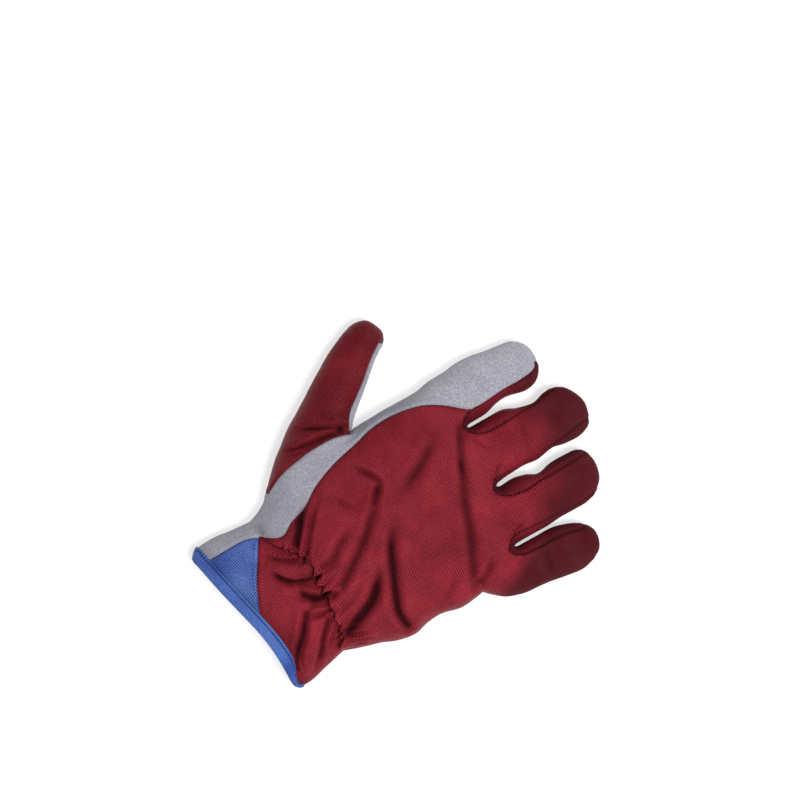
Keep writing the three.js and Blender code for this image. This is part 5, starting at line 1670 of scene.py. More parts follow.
@dataclass
class CuffBinding:
    """The tape that is folded over the cuff's end and stitched down, in mm.

    Attributes:
        cloth: the cloth that it is folded over.
        tape: thickness of one leg of the tape.
        clearance: play between tape and panels.
        nose, nose_steps: how far the fold stands past the panels, and its steps.
        inset: how far the fold's inside stands past them.
        plump: how much the outer leg bulges.
        drawn: how far the stitches draw it in, over rings.
        edge: how round its edge is.
        slim, slim_part: how much thinner the tape gets, and between which x.
        thread, sunk: thickness of its stitches, and how far they sink in.
        stitch_row, painted_stitch_shade: ring that the stitches follow, and the painted
            shade along it.
        pale, pale_part: painted highlight: how pale the tape's middle is, and between
            which x that comes and goes.
    """

    cloth: SewnCloth
    tape: float = 1.0
    clearance: float = 0.35
    nose: float = 1.7
    nose_steps: int = 8
    inset: float = 0.35
    plump: float = 0.12
    drawn: Falloff = Falloff(0.4, 0.9)
    edge: float = 0.25
    slim: float = 0.5
    slim_part: tuple[float, float] = (42, 55)
    thread: float = 0.55
    sunk: float = 0.2
    stitch_row: int = 6
    painted_stitch_shade: float = 0.55
    pale: float = 0.65
    pale_part: tuple[tuple[float, float], tuple[float, float]] = ((-4, 10), (30, 44))

    def rings(self) -> np.ndarray:
        """Follows the skin round the cuff.

        Returns:
            Vertex numbers of the rings, from the cuff's end inwards.
        """
        cutter = self.cloth.cutter
        g, w = cutter.grids, cutter.walls
        return np.array([
            np.concatenate([
                g["strip"][k], g["vent"][k][1:], g["back"][k][1:], w["ulnar_band"].rows[1:, -1 - k],
                g["under"][k][::-1], w["radial_band"].rows[:0:-1, k],
            ])
            for k in range(cutter.density.band + 1)
        ])

    def thinned(self, ring: np.ndarray) -> np.ndarray:
        """How thick the tape is round the cuff, 1 where it has its full thickness."""
        return 1 - self.slim * smoothstep(self.cloth.points[ring, 0], *self.slim_part)

    def profile(self, last: int) -> list[tuple[int, float, float]]:
        """Draws the tape's section, from its outer edge round the fold and back inside.

        Args:
            last: number of the ring at the tape's edge.

        Returns:
            Ring, height over the panel's face and way past the panel's end.
        """
        near, far = self.clearance, self.clearance + self.tape
        wall = self.cloth.wall
        bottom, middle = -wall - far, -wall / 2
        half = (far - bottom) / 2
        profile = [(last, (near + far) / 2, -self.edge)]
        for k in range(last, -1, -1):
            lift = far + self.plump - float(self.drawn.at(k - self.stitch_row))
            profile.append((k, lift - (self.edge if k == last else 0), 0.0))
        for step in range(1, self.nose_steps):
            angle = math.pi * step / self.nose_steps
            profile.append((0, middle + half * math.cos(angle), self.nose * math.sin(angle)))
        profile += [(k, bottom, 0.0) for k in range(last + 1)]
        profile += [(k, -wall - near, 0.0) for k in range(last, 0, -1)]
        profile += [(0, -wall - near, self.inset), (0, near, self.inset)]
        return profile + [(k, near, 0.0) for k in range(1, last + 1)]

    def mesh(self) -> ClothMesh:
        """Builds the tape as one closed ring.

        Returns:
            The closed cloth.
        """
        cloth, rings = self.cloth, self.rings()
        base, normal = cloth.points[rings], cloth.normals[rings]
        axis = unit(base[0] - base[-1])
        count, x = rings.shape[1], base[0, :, 0]
        around = np.concatenate([[0.0], np.cumsum(np.linalg.norm(np.diff(base[0], axis=0), axis=1))])
        # Painted highlight: the middle stretch of the tape is paler.
        thin = self.thinned(rings[0])
        come, go = self.pale_part
        pale = self.pale * smoothstep(x, *come) * (1 - smoothstep(x, *go))
        profile = self.profile(len(rings) - 1)
        places, flat, hollow = [], [], []
        across = 0.0
        for k, lift, past in profile:
            inside = min(max(lift, -cloth.wall), 0.0)
            lifted = inside + (lift - inside) * thin
            row = base[k] + normal[k] * lifted[:, None] + axis * (past * thin)[:, None]
            if places:
                across += float(np.median(np.linalg.norm(row - places[-1], axis=1)))
            places.append(row)
            flat.append(np.column_stack([around, np.full(count, across)]))
            # Painted shade along the stitch groove; elsewhere the painted highlight, as a negative value.
            stitched = lift > self.clearance and not past and k == self.stitch_row
            hollow.append(np.full(count, self.painted_stitch_shade) if stitched else -pale)
        steps = len(profile)
        faces = []
        for i in range(count):
            j = (i + 1) % count
            for k in range(steps):
                n = (k + 1) % steps
                faces.append([k * count + i, n * count + i, n * count + j, k * count + j])
        return ClothMesh(np.vstack(places), faces, np.vstack(flat), np.concatenate(hollow))

    def stitch_path(self) -> np.ndarray:
        """Follows the tape's stitch line.

        Returns:
            Places in mm.
        """
        rings = self.rings()
        ring = rings[self.stitch_row]
        lift = (self.clearance + self.tape) * self.thinned(rings[0]) - self.sunk
        places = self.cloth.points[ring] + self.cloth.normals[ring] * lift[:, None]
        places[:, 2] = np.maximum(places[:, 2], self.thread / 2 - FRAME_SHIFT[2])
        return places


# ---- Finishes ---------------------------------------------------------------
class NodeBench:
    """Short ways to add and join shader nodes in one tree."""

    def __init__(self, tree: bpy.types.NodeTree) -> None:
        """Works on the given tree."""
        self.tree = tree

    def add(self, kind: str, inputs: dict | None = None, **settings: object) -> bpy.types.Node:
        """Adds a node, sets its properties, and fills or links its inputs.

        Args:
            kind: the node's type.
            inputs: socket name or number to a value or an output socket.
            **settings: the node's own properties.

        Returns:
            The node.
        """
        node = self.tree.nodes.new(kind)
        for key, value in settings.items():
            setattr(node, key, value)
        for key, value in (inputs or {}).items():
            if isinstance(value, bpy.types.NodeSocket):
                self.tree.links.new(value, node.inputs[key])
            else:
                node.inputs[key].default_value = value
        return node

    def math(self, operation: str, a: object, b: object = 0.0, c: object = 0.0) -> bpy.types.NodeSocket:
        """The result of a Math node on up to three values."""
        return self.add("ShaderNodeMath", {0: a, 1: b, 2: c}, operation=operation).outputs[0]

    def mix(self, factor: object, a: object, b: object) -> bpy.types.NodeSocket:
        """Two colours mixed by a factor."""
        return self.add("ShaderNodeMix", {0: factor, 6: a, 7: b}, data_type="RGBA").outputs[2]

    def tint(self, colour: object, other: Colour, mask: object, share: float) -> bpy.types.NodeSocket:
        """A colour that takes on a share of another one where the mask is 1."""
        return self.mix(self.math("MULTIPLY", mask, share), colour, other)

    def noise(self, vector: object, scale: object, detail: float = 2.0, rough: float = 0.5) -> bpy.types.NodeSocket:
        """A noise texture's value."""
        inputs = {"Vector": vector, "Scale": scale, "Detail": detail, "Roughness": rough}
        return self.add("ShaderNodeTexNoise", inputs).outputs["Fac"]

    def ramp(self, value: object, low: float, high: float) -> bpy.types.NodeSocket:
        """A value stretched so that low becomes 0 and high becomes 1."""
        inputs = {"Value": value, "From Min": low, "From Max": high}
        return self.add("ShaderNodeMapRange", inputs, interpolation_type="SMOOTHSTEP").outputs["Result"]


@dataclass(frozen=True)
class Grain:
    """A pattern of noise on a surface.

    Attributes:
        scale: how fine it is.
        low, high: values of the noise that become 0 and 1.
        share: how much of it shows.
        detail, rough: the noise's own settings.
    """

    scale: float
    low: float = 0.3
    high: float = 0.7
    share: float = 1.0
    detail: float = 2.0
    rough: float = 0.5


class Group(NodeBench):
    """A node group under construction."""

    def __init__(self, name: str, kind: str, takes: dict[str, str | float], gives: dict[str, str]) -> None:
        """Opens the group's sockets.

        Args:
            name: the group's name.
            kind: the tree's type.
            takes: each input's type of socket, or the value that a plain number starts with.
            gives: each output's type of socket.
        """
        super().__init__(bpy.data.node_groups.new(name, kind))
        for way, sockets in (("INPUT", takes), ("OUTPUT", gives)):
            for label, sort in sockets.items():
                given = isinstance(sort, float)
                sort_name = f"NodeSocket{'Float' if given else sort}"
                socket = self.tree.interface.new_socket(label, in_out=way, socket_type=sort_name)
                if given:
                    socket.default_value = sort
        self.inputs = self.add("NodeGroupInput").outputs

    def close(self, outputs: dict) -> bpy.types.NodeTree:
        """Links the group's outputs and returns its tree."""
        self.add("NodeGroupOutput", outputs)
        return self.tree


class Surface(NodeBench):
    """A material under construction, on the object's own coordinates."""

    def __init__(self, name: str) -> None:
        """Starts a material with an empty tree.

        Args:
            name: its name.
        """
        self.material = bpy.data.materials.new(name)
        self.material.use_nodes = True
        super().__init__(self.material.node_tree)
        self.tree.nodes.clear()
        self.place = self.add("ShaderNodeTexCoord").outputs["Object"]

    def grain(self, grain: Grain) -> bpy.types.NodeSocket:
        """A pattern of noise from 0 to 1."""
        return self.ramp(self.noise(self.place, grain.scale, grain.detail, grain.rough), grain.low, grain.high)

    def group(self, name: str, inputs: dict) -> dict[str, bpy.types.NodeSocket]:
        """The outputs of a node group, by name."""
        return self.add("ShaderNodeGroup", inputs, node_tree=bpy.data.node_groups[name]).outputs

    def hollow(self) -> bpy.types.NodeSocket:
        """The mesh's painted shade, negative where it is a painted highlight."""
        return self.add("ShaderNodeAttribute", attribute_name="hollow").outputs["Fac"]

    def bump(self, height: bpy.types.NodeSocket, strength: float, distance: float) -> bpy.types.NodeSocket:
        """The surface's direction under a fine relief."""
        inputs = {"Height": height, "Strength": strength, "Distance": distance}
        return self.add("ShaderNodeBump", inputs).outputs["Normal"]

    def finish(self, inputs: dict) -> bpy.types.Material:
        """Adds the shader.

        Args:
            inputs: socket name to a value or an output socket.

        Returns:
            The material.
        """
        shader = self.add("ShaderNodeBsdfPrincipled", inputs)
        self.add("ShaderNodeOutputMaterial", {"Surface": shader.outputs[0]})
        return self.material


def rgb(red: int, green: int, blue: int) -> Colour:
    """A screen colour from 0 to 255 as the scene's linear colour."""
    shares = (c / 255 for c in (red, green, blue))
    return (*(v / 12.92 if v <= 0.04045 else ((v + 0.055) / 1.055) ** 2.4 for v in shares), 1.0)


def dimmed(colour: Colour, share: float) -> Colour:
    """A colour at a share of its brightness."""
    return (*(c * share for c in colour[:3]), 1.0)


def rib_group() -> bpy.types.NodeTree:
    """Builds the shader group for ribbed cloth.

    Returns:
        The group; its outputs are rounded ribs and their height with stitches.
    """
    takes = {"Cloth": "Vector", "Turn": 0.0, "Pitch": 0.0016, "Stitch": 0.0009, "Wander": 0.0002}
    bench = Group("ribbed_cloth", "ShaderNodeTree", takes, {"Rib": "Float", "Height": "Float"})
    cloth, turn, pitch, stitch, wander = (bench.inputs[name] for name in takes)
    turned = bench.add("ShaderNodeVectorRotate", {"Vector": cloth, "Angle": turn}, rotation_type="Z_AXIS")
    parts = bench.add("ShaderNodeSeparateXYZ", {0: turned.outputs[0]}).outputs
    drift = bench.math("SUBTRACT", bench.noise(cloth, 90.0), 0.5)
    across = bench.math("ADD", parts["Y"], bench.math("MULTIPLY", drift, wander))
    phase = bench.math("DIVIDE", across, pitch)
    # Every second rib's stitches are half a stitch farther on.
    stagger = bench.math("MULTIPLY", bench.math("FLOOR", phase), 0.5)
    along = bench.math("ADD", bench.math("DIVIDE", parts["X"], stitch), stagger)
    rib, knot = (
        bench.math("ABSOLUTE", bench.math("SINE", bench.math("MULTIPLY", value, math.pi))) for value in (phase, along)
    )
    rib = bench.math("POWER", rib, 1.5)
    return bench.close({"Rib": rib, "Height": bench.math("ADD", rib, bench.math("MULTIPLY", knot, 0.14))})


def nap_group() -> bpy.types.NodeTree:
    """Builds the shader group for suede.

    Returns:
        The group; its outputs are fine speckle, brushed patches and their height.
    """
    takes = {"Place": "Vector", "Speckle Scale": 900.0}
    bench = Group("suede_nap", "ShaderNodeTree", takes, dict.fromkeys(("Speckle", "Patches", "Height"), "Float"))
    place = bench.inputs["Place"]
    fine = bench.noise(place, bench.inputs["Speckle Scale"], 3.0)
    patches = bench.ramp(bench.noise(place, 45.0, 3.0, 0.6), 0.3, 0.7)
    height = bench.math("ADD", fine, bench.math("MULTIPLY", bench.noise(place, 350.0), 0.6))
    return bench.close({"Speckle": bench.ramp(fine, 0.36, 0.64), "Patches": patches, "Height": height})


@dataclass(frozen=True)
class Wear:
    """Soil and dust on the fingertips.

    Attributes:
        edge: y in metres between which the soil comes.
        bend: how much nearer to the wrist that is, times the cube of x.
        fray: how uneven the edge is.
        soil, share: the soil's colour, and how much of it shows.
        dust, dust_colour: patches of dust in it, and their colour.
        rough: how much rougher the soil makes the cloth.
    """

    edge: tuple[float, float] = (0.094, 0.124)
    bend: float = 100.0
    fray: Grain = Grain(40.0, share=0.016)
    soil: Colour = rgb(64, 12, 20)
    share: float = 0.85
    dust: Grain = Grain(60.0, 0.25, 0.75, 0.05, 4.0, 0.6)
    dust_colour: Colour = rgb(140, 110, 112)
    rough: float = 0.4

    def tips(self, bench: Surface) -> bpy.types.NodeSocket:
        """Marks the worn tips.

        Args:
            bench: the material under construction.

        Returns:
            1 on the tips, 0 elsewhere.
        """
        parts = bench.add("ShaderNodeSeparateXYZ", {0: bench.place}).outputs
        cube = bench.math("POWER", bench.math("MAXIMUM", parts["X"], 0.0), 3.0)
        reach = bench.math("MULTIPLY_ADD", cube, self.bend, parts["Y"])
        reach = bench.math("MULTIPLY_ADD", bench.noise(bench.place, self.fray.scale), self.fray.share, reach)
        return bench.ramp(reach, *self.edge)


@dataclass(frozen=True)
class RibbedCloth:
    """A ribbed fabric's finish.

    Attributes:
        name: the material's name.
        light, mid, dark: colour on the ribs, the main one and the one between.
        turn: angle of the ribs in degrees.
        pitch: distance between ribs in metres.
        stitch: distance between stitches along a rib in metres.
        contrast: how much the ribs show in the colour.
        bump: height of the ribs in metres.
        gloss: colour of the cloth's soft shine.
        wear: soil on the fingertips, if any.
        patches: where the cloth is paler and rougher.
        fading: where the ribs show less.
        least: share of the ribs' contrast that always shows.
        fibre: pale fibres.
        lint: dark specks.
        rough: roughness, and how much rougher the patches are.
        sunk: how much the painted shade darkens folds, and how much rougher they are.
        deep: brightness of the painted shade's dark colour at the bottom of a fold.
    """

    name: str
    light: Colour
    mid: Colour
    dark: Colour
    turn: float = 0.0
    pitch: float = 0.00154
    stitch: float = 0.0009
    contrast: float = 1.0
    bump: float = 0.00024
    gloss: Colour = (1.0, 0.35, 0.4, 1.0)
    wear: Wear | None = None
    patches: Grain = Grain(28.0, detail=3.0, rough=0.55)
    fading: Grain = Grain(36.0, 0.25, 0.75)
    least: float = 0.3
    fibre: Grain = Grain(1500.0, share=0.3)
    lint: Grain = Grain(900.0, 0.35, 0.65, 0.28)
    rough: tuple[float, float] = (0.46, 0.12)
    sunk: tuple[float, float] = (0.88, 0.45)
    deep: float = 0.2

    def material(self) -> bpy.types.Material:
        """Builds the material.

        Returns:
            The material, with its ribs on the piece's flat cloth.
        """
        bench = Surface(self.name)
        cloth = bench.add("ShaderNodeUVMap", uv_map="cloth").outputs["UV"]
        turn = math.radians(self.turn)
        ribs = bench.group("ribbed_cloth", {"Cloth": cloth, "Turn": turn, "Pitch": self.pitch, "Stitch": self.stitch})
        slow = bench.grain(self.patches)
        least = self.least * self.contrast
        show = bench.math("MULTIPLY_ADD", bench.grain(self.fading), self.contrast - least, least)
        shade = bench.math("MULTIPLY", bench.math("SUBTRACT", 1.0, ribs["Rib"]), show)
        colour = bench.mix(shade, bench.mix(slow, self.mid, self.light), self.dark)
        colour = bench.tint(colour, self.light, bench.grain(self.fibre), self.fibre.share)
        colour = bench.tint(colour, self.dark, bench.grain(self.lint), self.lint.share)
        rough = bench.math("MULTIPLY_ADD", slow, self.rough[1], self.rough[0])
        if self.wear:
            wear, tips = self.wear, self.wear.tips(bench)
            dust = bench.math("MULTIPLY", tips, bench.grain(wear.dust))
            colour = bench.tint(colour, wear.soil, tips, wear.share)
            colour = bench.tint(colour, wear.dust_colour, dust, wear.dust.share)
            rough = bench.math("MULTIPLY_ADD", tips, wear.rough, rough)
        # Painted shade from the mesh darkens folds and shaded places; where it is negative, a painted highlight pales
        # the colour.
        hollow = bench.hollow()
        sunk = bench.math("MAXIMUM", hollow, 0.0)
        colour = bench.tint(colour, dimmed(self.dark, self.deep), sunk, self.sunk[0])
        colour = bench.tint(colour, self.light, bench.math("MINIMUM", hollow, 0.0), -1.0)
        return bench.finish({
            "Base Color": colour, "Roughness": bench.math("MULTIPLY_ADD", sunk, self.sunk[1], rough),
            "Normal": bench.bump(ribs["Height"], 1.0, self.bump), "IOR": 1.38, "Specular IOR Level": 0.45,
            "Specular Tint": self.gloss, "Sheen Weight": 0.03, "Sheen Roughness": 0.4,
            "Sheen Tint": (1.0, 0.6, 0.62, 1.0),
        })


@dataclass(frozen=True)
class Suede:
    """The grey synthetic suede's finish.

    Attributes:
        name: the material's name.
        light, mid, dark: colour of the patches, the main one and the specks' one.
        light_share, dark_share: how much of the patches and the specks shows.
        painted_highlight, painted_highlight_share: the paler colour painted towards the
            fingers as a painted highlight, and how much of it shows.
        painted_highlight_edge: y in metres between which it comes.
        fray: how uneven that edge is.
        sunk: how much the painted shade darkens folds.
        deep: brightness of the painted shade's dark colour at the bottom of a fold.
        rough: roughness, and how much rougher the patches are.
        bump: height of the nap in metres.
    """

    name: str = "grey_suede"
    light: Colour = rgb(172, 171, 182)
    mid: Colour = rgb(148, 147, 159)
    dark: Colour = rgb(108, 108, 120)
    painted_highlight: Colour = rgb(208, 207, 216)
    light_share: float = 0.6
    dark_share: float = 0.5
    painted_highlight_share: float = 0.28
    painted_highlight_edge: tuple[float, float] = (0.05, 0.1)
    fray: Grain = Grain(30.0, share=0.04)
    sunk: float = 0.55
    deep: float = 0.3
    rough: tuple[float, float] = (0.8, 0.12)
    bump: float = 0.0002

    def material(self) -> bpy.types.Material:
        """Builds the material.

        Returns:
            The material.
        """
        bench = Surface(self.name)
        nap = bench.group("suede_nap", {"Place": bench.place})
        colour = bench.tint(self.mid, self.light, nap["Patches"], self.light_share)
        # Painted highlight: the suede gets paler towards the fingers.
        parts = bench.add("ShaderNodeSeparateXYZ", {0: bench.place}).outputs
        fray = bench.noise(bench.place, self.fray.scale)
        reach = bench.ramp(bench.math("MULTIPLY_ADD", fray, self.fray.share, parts["Y"]), *self.painted_highlight_edge)
        colour = bench.tint(colour, self.painted_highlight, reach, self.painted_highlight_share)
        specks = bench.math("SUBTRACT", 1.0, nap["Speckle"])
        colour = bench.tint(colour, self.dark, specks, self.dark_share)
        # Painted shade in folds and beside seams.
        sunk = bench.math("MAXIMUM", bench.hollow(), 0.0)
        return bench.finish({
            "Base Color": bench.tint(colour, dimmed(self.dark, self.deep), sunk, self.sunk),
            "Roughness": bench.math("MULTIPLY_ADD", nap["Patches"], self.rough[1], self.rough[0]),
            "Normal": bench.bump(nap["Height"], 0.8, self.bump), "Specular IOR Level": 0.2,
            "Sheen Weight": 0.3, "Sheen Roughness": 0.6,
        })


@dataclass(frozen=True)
class Thread:
    """Sewing thread's finish.

    Attributes:
        name: the material's name.
        colour: the thread's colour.
        strands: the twisted strands.
        deep: brightness between them.
        bump: their height in metres.
    """

    name: str
    colour: Colour
    strands: Grain = Grain(2600.0, 0.35, 0.65)
    deep: float = 0.5
    bump: float = 0.0001

    def material(self) -> bpy.types.Material:
        """Builds the material, with twisted strands in its bump.

        Returns:
            The material.
        """
        bench = Surface(self.name)
        strands = bench.noise(bench.place, self.strands.scale)
        shown = bench.ramp(strands, self.strands.low, self.strands.high)
        return bench.finish({
            "Base Color": bench.mix(shown, dimmed(self.colour, self.deep), self.colour), "Roughness": 0.8,
            "Normal": bench.bump(strands, 0.5, self.bump), "Sheen Weight": 0.04, "Specular IOR Level": 0.15,
        })


BLUE_GLOSS: Colour = (0.6, 0.7, 1.0, 1.0)
class Finish(Enum):
    """Every finish; a fabric's light, mid and dark colour come after its name."""

    BACK_KNIT = RibbedCloth("red_knit_back", rgb(166, 45, 59), rgb(122, 25, 38), rgb(44, 3, 9), wear=Wear())
    # Painted shade: the thumb's back is a darker copy of the back's red knit.
    THUMB_KNIT = RibbedCloth(
        "red_knit_thumb", rgb(138, 33, 43), rgb(110, 21, 31), rgb(34, 2, 7), turn=-34.0, pitch=0.00138, contrast=1.3,
    )
    # Painted shade: the fingers' side walls are a darker copy of the back's red knit.
    SIDE_KNIT = RibbedCloth("red_knit_sides", rgb(146, 37, 50), rgb(118, 24, 37), rgb(38, 3, 8), wear=Wear())
    SUEDE = Suede()
    VENT_RIB = RibbedCloth(
        "blue_vent_rib", rgb(124, 154, 226), rgb(78, 106, 190), rgb(20, 42, 122), turn=-11.0, pitch=0.00138,
        contrast=1.7, bump=0.00045, gloss=BLUE_GLOSS,
    )
    TAPE = RibbedCloth(
        "blue_binding_tape", rgb(98, 134, 214), rgb(36, 66, 164), rgb(10, 28, 106), turn=90.0, pitch=0.00115,
        stitch=0.0022, bump=0.00045, gloss=BLUE_GLOSS,
    )
    RED_THREAD = Thread("dark_red_thread", rgb(30, 3, 8))
    GREY_THREAD = Thread("grey_thread", rgb(116, 116, 128))
    BLUE_THREAD = Thread("blue_thread", rgb(18, 32, 92))


# Finish and material slot of each panel.
DRESS = {
    Panel.PALM: (Finish.SUEDE, "grey_leather"),
    Panel.BACK: (Finish.BACK_KNIT, "red_fabric"),
    **dict.fromkeys(FOURCHETTES, (Finish.SIDE_KNIT, "red_fabric")),
    Panel.THUMB_FRONT: (Finish.SUEDE, "grey_leather"),
    Panel.THUMB_BACK: (Finish.THUMB_KNIT, "red_fabric"),
    Panel.VENT: (Finish.VENT_RIB, "vent_fabric"),
}


# ---- Stitches ---------------------------------------------------------------
@dataclass
class StitchRow:
    """Rows of thread stitches laid on the cloth by Geometry Nodes.

    Attributes:
        name: the piece's name.
        paths: lines of places in mm in the plan frame.
        material: the thread's finish.
        slot: the record's material slot.
        pitch: distance from stitch to stitch in mm.
        length: length of one stitch in mm.
        thick: thickness of the thread in mm.
    """

    name: str
    paths: list[np.ndarray]
    material: bpy.types.Material
    slot: str
    pitch: float
    length: float
    thick: float

    def tree(self) -> bpy.types.NodeTree:
        """Builds the node tree that lays a thread on every step of a line.

        Returns:
            The tree.
        """
        takes = {"Geometry": "Geometry", "Pitch": "Float", "Length": "Float", "Thickness": "Float"}
        bench = Group(f"{self.name}_tree", "GeometryNodeTree", takes | {"Thread": "Material"}, {"Geometry": "Geometry"})
        line, pitch, length, thick, thread = (bench.inputs[name] for name in (*takes, "Thread"))
        curve = bench.add("GeometryNodeMeshToCurve", {"Mesh": line}).outputs[0]
        steps = bench.add("GeometryNodeResampleCurve", {"Curve": curve, "Length": pitch}, mode="LENGTH").outputs[0]
        bead = bench.add("GeometryNodeMeshUVSphere", {"Segments": 6, "Rings": 4, "Radius": 0.5}).outputs["Mesh"]
        size = bench.add("ShaderNodeCombineXYZ", {"X": length, "Y": thick, "Z": thick}).outputs[0]
        bead = bench.add("GeometryNodeTransform", {"Geometry": bead, "Scale": size}).outputs[0]
        tangent = bench.add("GeometryNodeInputTangent").outputs[0]
        turn = bench.add("FunctionNodeAlignRotationToVector", {"Vector": tangent}, axis="X").outputs[0]
        laid = bench.add("GeometryNodeInstanceOnPoints", {"Points": steps, "Instance": bead, "Rotation": turn})
        real = bench.add("GeometryNodeRealizeInstances", {0: laid.outputs[0]})
        smooth = bench.add("GeometryNodeSetShadeSmooth", {0: real.outputs[0]}).outputs[0]
        dressed = bench.add("GeometryNodeSetMaterial", {"Geometry": smooth, "Material": thread})
        return bench.close({0: dressed.outputs[0]})

    def build(self) -> bpy.types.Object:
        """Lays the stitches.

        Returns:
            All of them as one plain mesh.
        """
        mesh = bpy.data.meshes.new(f"{self.name}_line")
        points, edges = [], []
        for path in self.paths:
            start = len(points)
            points += to_frame(path).tolist()
            edges += [(start + k, start + k + 1) for k in range(len(path) - 1)]
        mesh.from_pydata(points, edges, [])
        line = linked(f"{self.name}_line", mesh)
        modifier = line.modifiers.new("stitches", "NODES")
        modifier.node_group = self.tree()
        sizes = {"Pitch": self.pitch * MM, "Length": self.length * MM, "Thickness": self.thick * MM}
        values = sizes | {"Thread": self.material}
        for item in modifier.node_group.interface.items_tree:
            if item.in_out == "INPUT" and item.name in values:
                modifier[item.identifier] = values[item.name]
        graph = bpy.context.evaluated_depsgraph_get()
        made = bpy.data.meshes.new_from_object(line.evaluated_get(graph), depsgraph=graph)
        made.name = self.name
        bpy.data.objects.remove(line)
        return linked(self.name, made)


class SeamLines:
    """Finds where the stitch lines lie on the finished cloth."""

    # Places of the seam before each slit and after it that a row follows, how
    # far apart they are picked, the row's steps and its way above the cloth.
    BEFORE = (1, 10, 10)
    AFTER = 25
    PICK = 4
    STEPS = 60
    RISE = 0.1

    def __init__(self, cloth: SewnCloth) -> None:
        """Sorts the cloth's outer faces for searching.

        Args:
            cloth: the sewn cloth.
        """
        self.cloth = cloth
        faces = [f for rows in cloth.cutter.skin.faces.values() for f in rows]
        self.tree = BVHTree.FromPolygons([tuple(p) for p in cloth.outer], faces)

    def snapped(self, path: np.ndarray, rise: float) -> np.ndarray:
        """Moves places onto the cloth's face.

        Args:
            path: rough places in mm.
            rise: how far above the cloth they end up.

        Returns:
            The places on the cloth.
        """
        rows = []
        for p in path:
            place, normal, _, _ = self.tree.find_nearest(Vector(p))
            rows.append(np.array(place + normal * rise))
        return np.array(rows)

    def round_crotch(self, k: int, offset: float = 0.9) -> np.ndarray:
        """The line on the back round the crotch between two fingers.

        Args:
            k: which slit, from the thumb's side.
            offset: distance from the seam.

        Returns:
            Places in mm.
        """
        cutter = self.cloth.cutter
        inner = cutter.walls[f"{DIGITS[k].name}_inner"].top
        outer = cutter.walls[f"{DIGITS[k + 1].name}_outer"].top
        ids = np.concatenate([inner[-self.BEFORE[k] :], cutter.slits[k].top[1:], outer[1 : self.AFTER + 1]])
        line = spread(cutter.skin.points[ids][:: self.PICK], self.STEPS)
        steps = np.gradient(line[:, :2], axis=0)
        line[:, :2] += unit(np.column_stack([steps[:, 1], -steps[:, 0]])) * offset
        return self.snapped(line, self.RISE)


# ---- Studio -----------------------------------------------------------------
@dataclass(frozen=True)
class Lamp:
    """A square soft light that looks at the glove.

    Attributes:
        name: the light's name.
        place: where it stands, in metres.
        size: length of its side in metres.
        power: its power in watts.
    """

    name: str
    place: tuple[float, float, float]
    size: float
    power: float

    def build(self) -> None:
        """Adds the light to the scene."""
        data = bpy.data.lights.new(self.name, "AREA")
        data.shape, data.size, data.energy = "SQUARE", self.size, self.power
        lamp = linked(self.name, data)
        lamp.location = self.place
        lamp.rotation_mode = "QUATERNION"
        lamp.rotation_quaternion = (-Vector(self.place)).to_track_quat("-Z", "Y")


@dataclass
class Studio:
    """Pale floor, soft light and the camera straight above.

    Attributes:
        scale: millimetres of the lying glove per picture point.
        width: picture points across.
        right: the picture's way to the right in the plan frame.
        origin: the way from the picture's upper left corner to the plan frame's
            origin, in picture points along the plan frame's axes.
        level: height above the floor at which the scale holds, in mm.
        lens: focal length in mm.
        view_end: how far the camera sees, in metres.
        lamps: the lights.
        sky: strength of the white surroundings.
        floor_half: half the floor's side in metres.
        grey: brightness of the floor's darker and paler spots.
        glow: how much the floor shines.
    """

    scale: float = 0.642
    width: float = 800
    right: tuple[float, float] = (0.529, 0.8486)
    origin: tuple[float, float] = (653.2, -118.5)
    level: float = 8.0
    lens: float = 135.0
    view_end: float = 20.0
    lamps: tuple[Lamp, ...] = (
        Lamp("key", (1.2, 0.55, 2.85), 1.2, 86.0),
        Lamp("fill", (-1.4, -0.3, 1.6), 1.4, 5.0),
    )
    sky: float = 0.3
    floor_half: float = 4
    grey: tuple[float, float] = (0.48, 0.52)
    glow: float = 0.62

    def camera(self) -> None:
        """Places the camera so that the glove lies as in the photograph."""
        data = bpy.data.cameras.new("camera")
        data.lens, data.clip_end = self.lens, self.view_end
        camera = linked("camera", data)
        (x, y), half = self.right, self.width / 2
        right, up = Vector((x, y, 0.0)).normalized(), Vector((-y, x, 0.0)).normalized()
        middle = (x * half + y * half - self.origin[0], y * half - x * half - self.origin[1])
        centre = np.array([middle[0] * self.scale, middle[1] * self.scale, self.level])
        place = to_frame(centre)
        place[2] += self.width * self.scale * MM * self.lens / data.sensor_width
        turn = Matrix((right, up, right.cross(up))).transposed()
        camera.matrix_world = Matrix.Translation(place) @ turn.to_4x4()
        bpy.context.scene.camera = camera

    def floor(self) -> None:
        """Lays a large pale floor with a faint grain."""
        mesh = bpy.data.meshes.new("floor")
        ways = ((-1, -1), (1, -1), (1, 1), (-1, 1))
        mesh.from_pydata([(x * self.floor_half, y * self.floor_half, 0) for x, y in ways], [], [(0, 1, 2, 3)])
        floor = linked("floor", mesh)
        bench = Surface("pale_floor")
        colour = bench.mix(bench.noise(bench.place, 6.0), *((c, c, c, 1) for c in self.grey))
        mesh.materials.append(bench.finish({
            "Base Color": colour, "Roughness": 0.9, "Emission Color": (1, 1, 1, 1), "Emission Strength": self.glow,
        }))

    def build(self) -> None:
        """Sets up the floor, the lights, the world and the camera."""
        self.floor()
        for lamp in self.lamps:
            lamp.build()
        world = bpy.data.worlds.new("studio")
        world.use_nodes = True
        shade = world.node_tree.nodes["Background"]
        shade.inputs["Color"].default_value = (1, 1, 1, 1)
        shade.inputs["Strength"].default_value = self.sky
        bpy.context.scene.world = world
        bpy.context.scene.view_settings.view_transform = "Standard"
        self.camera()


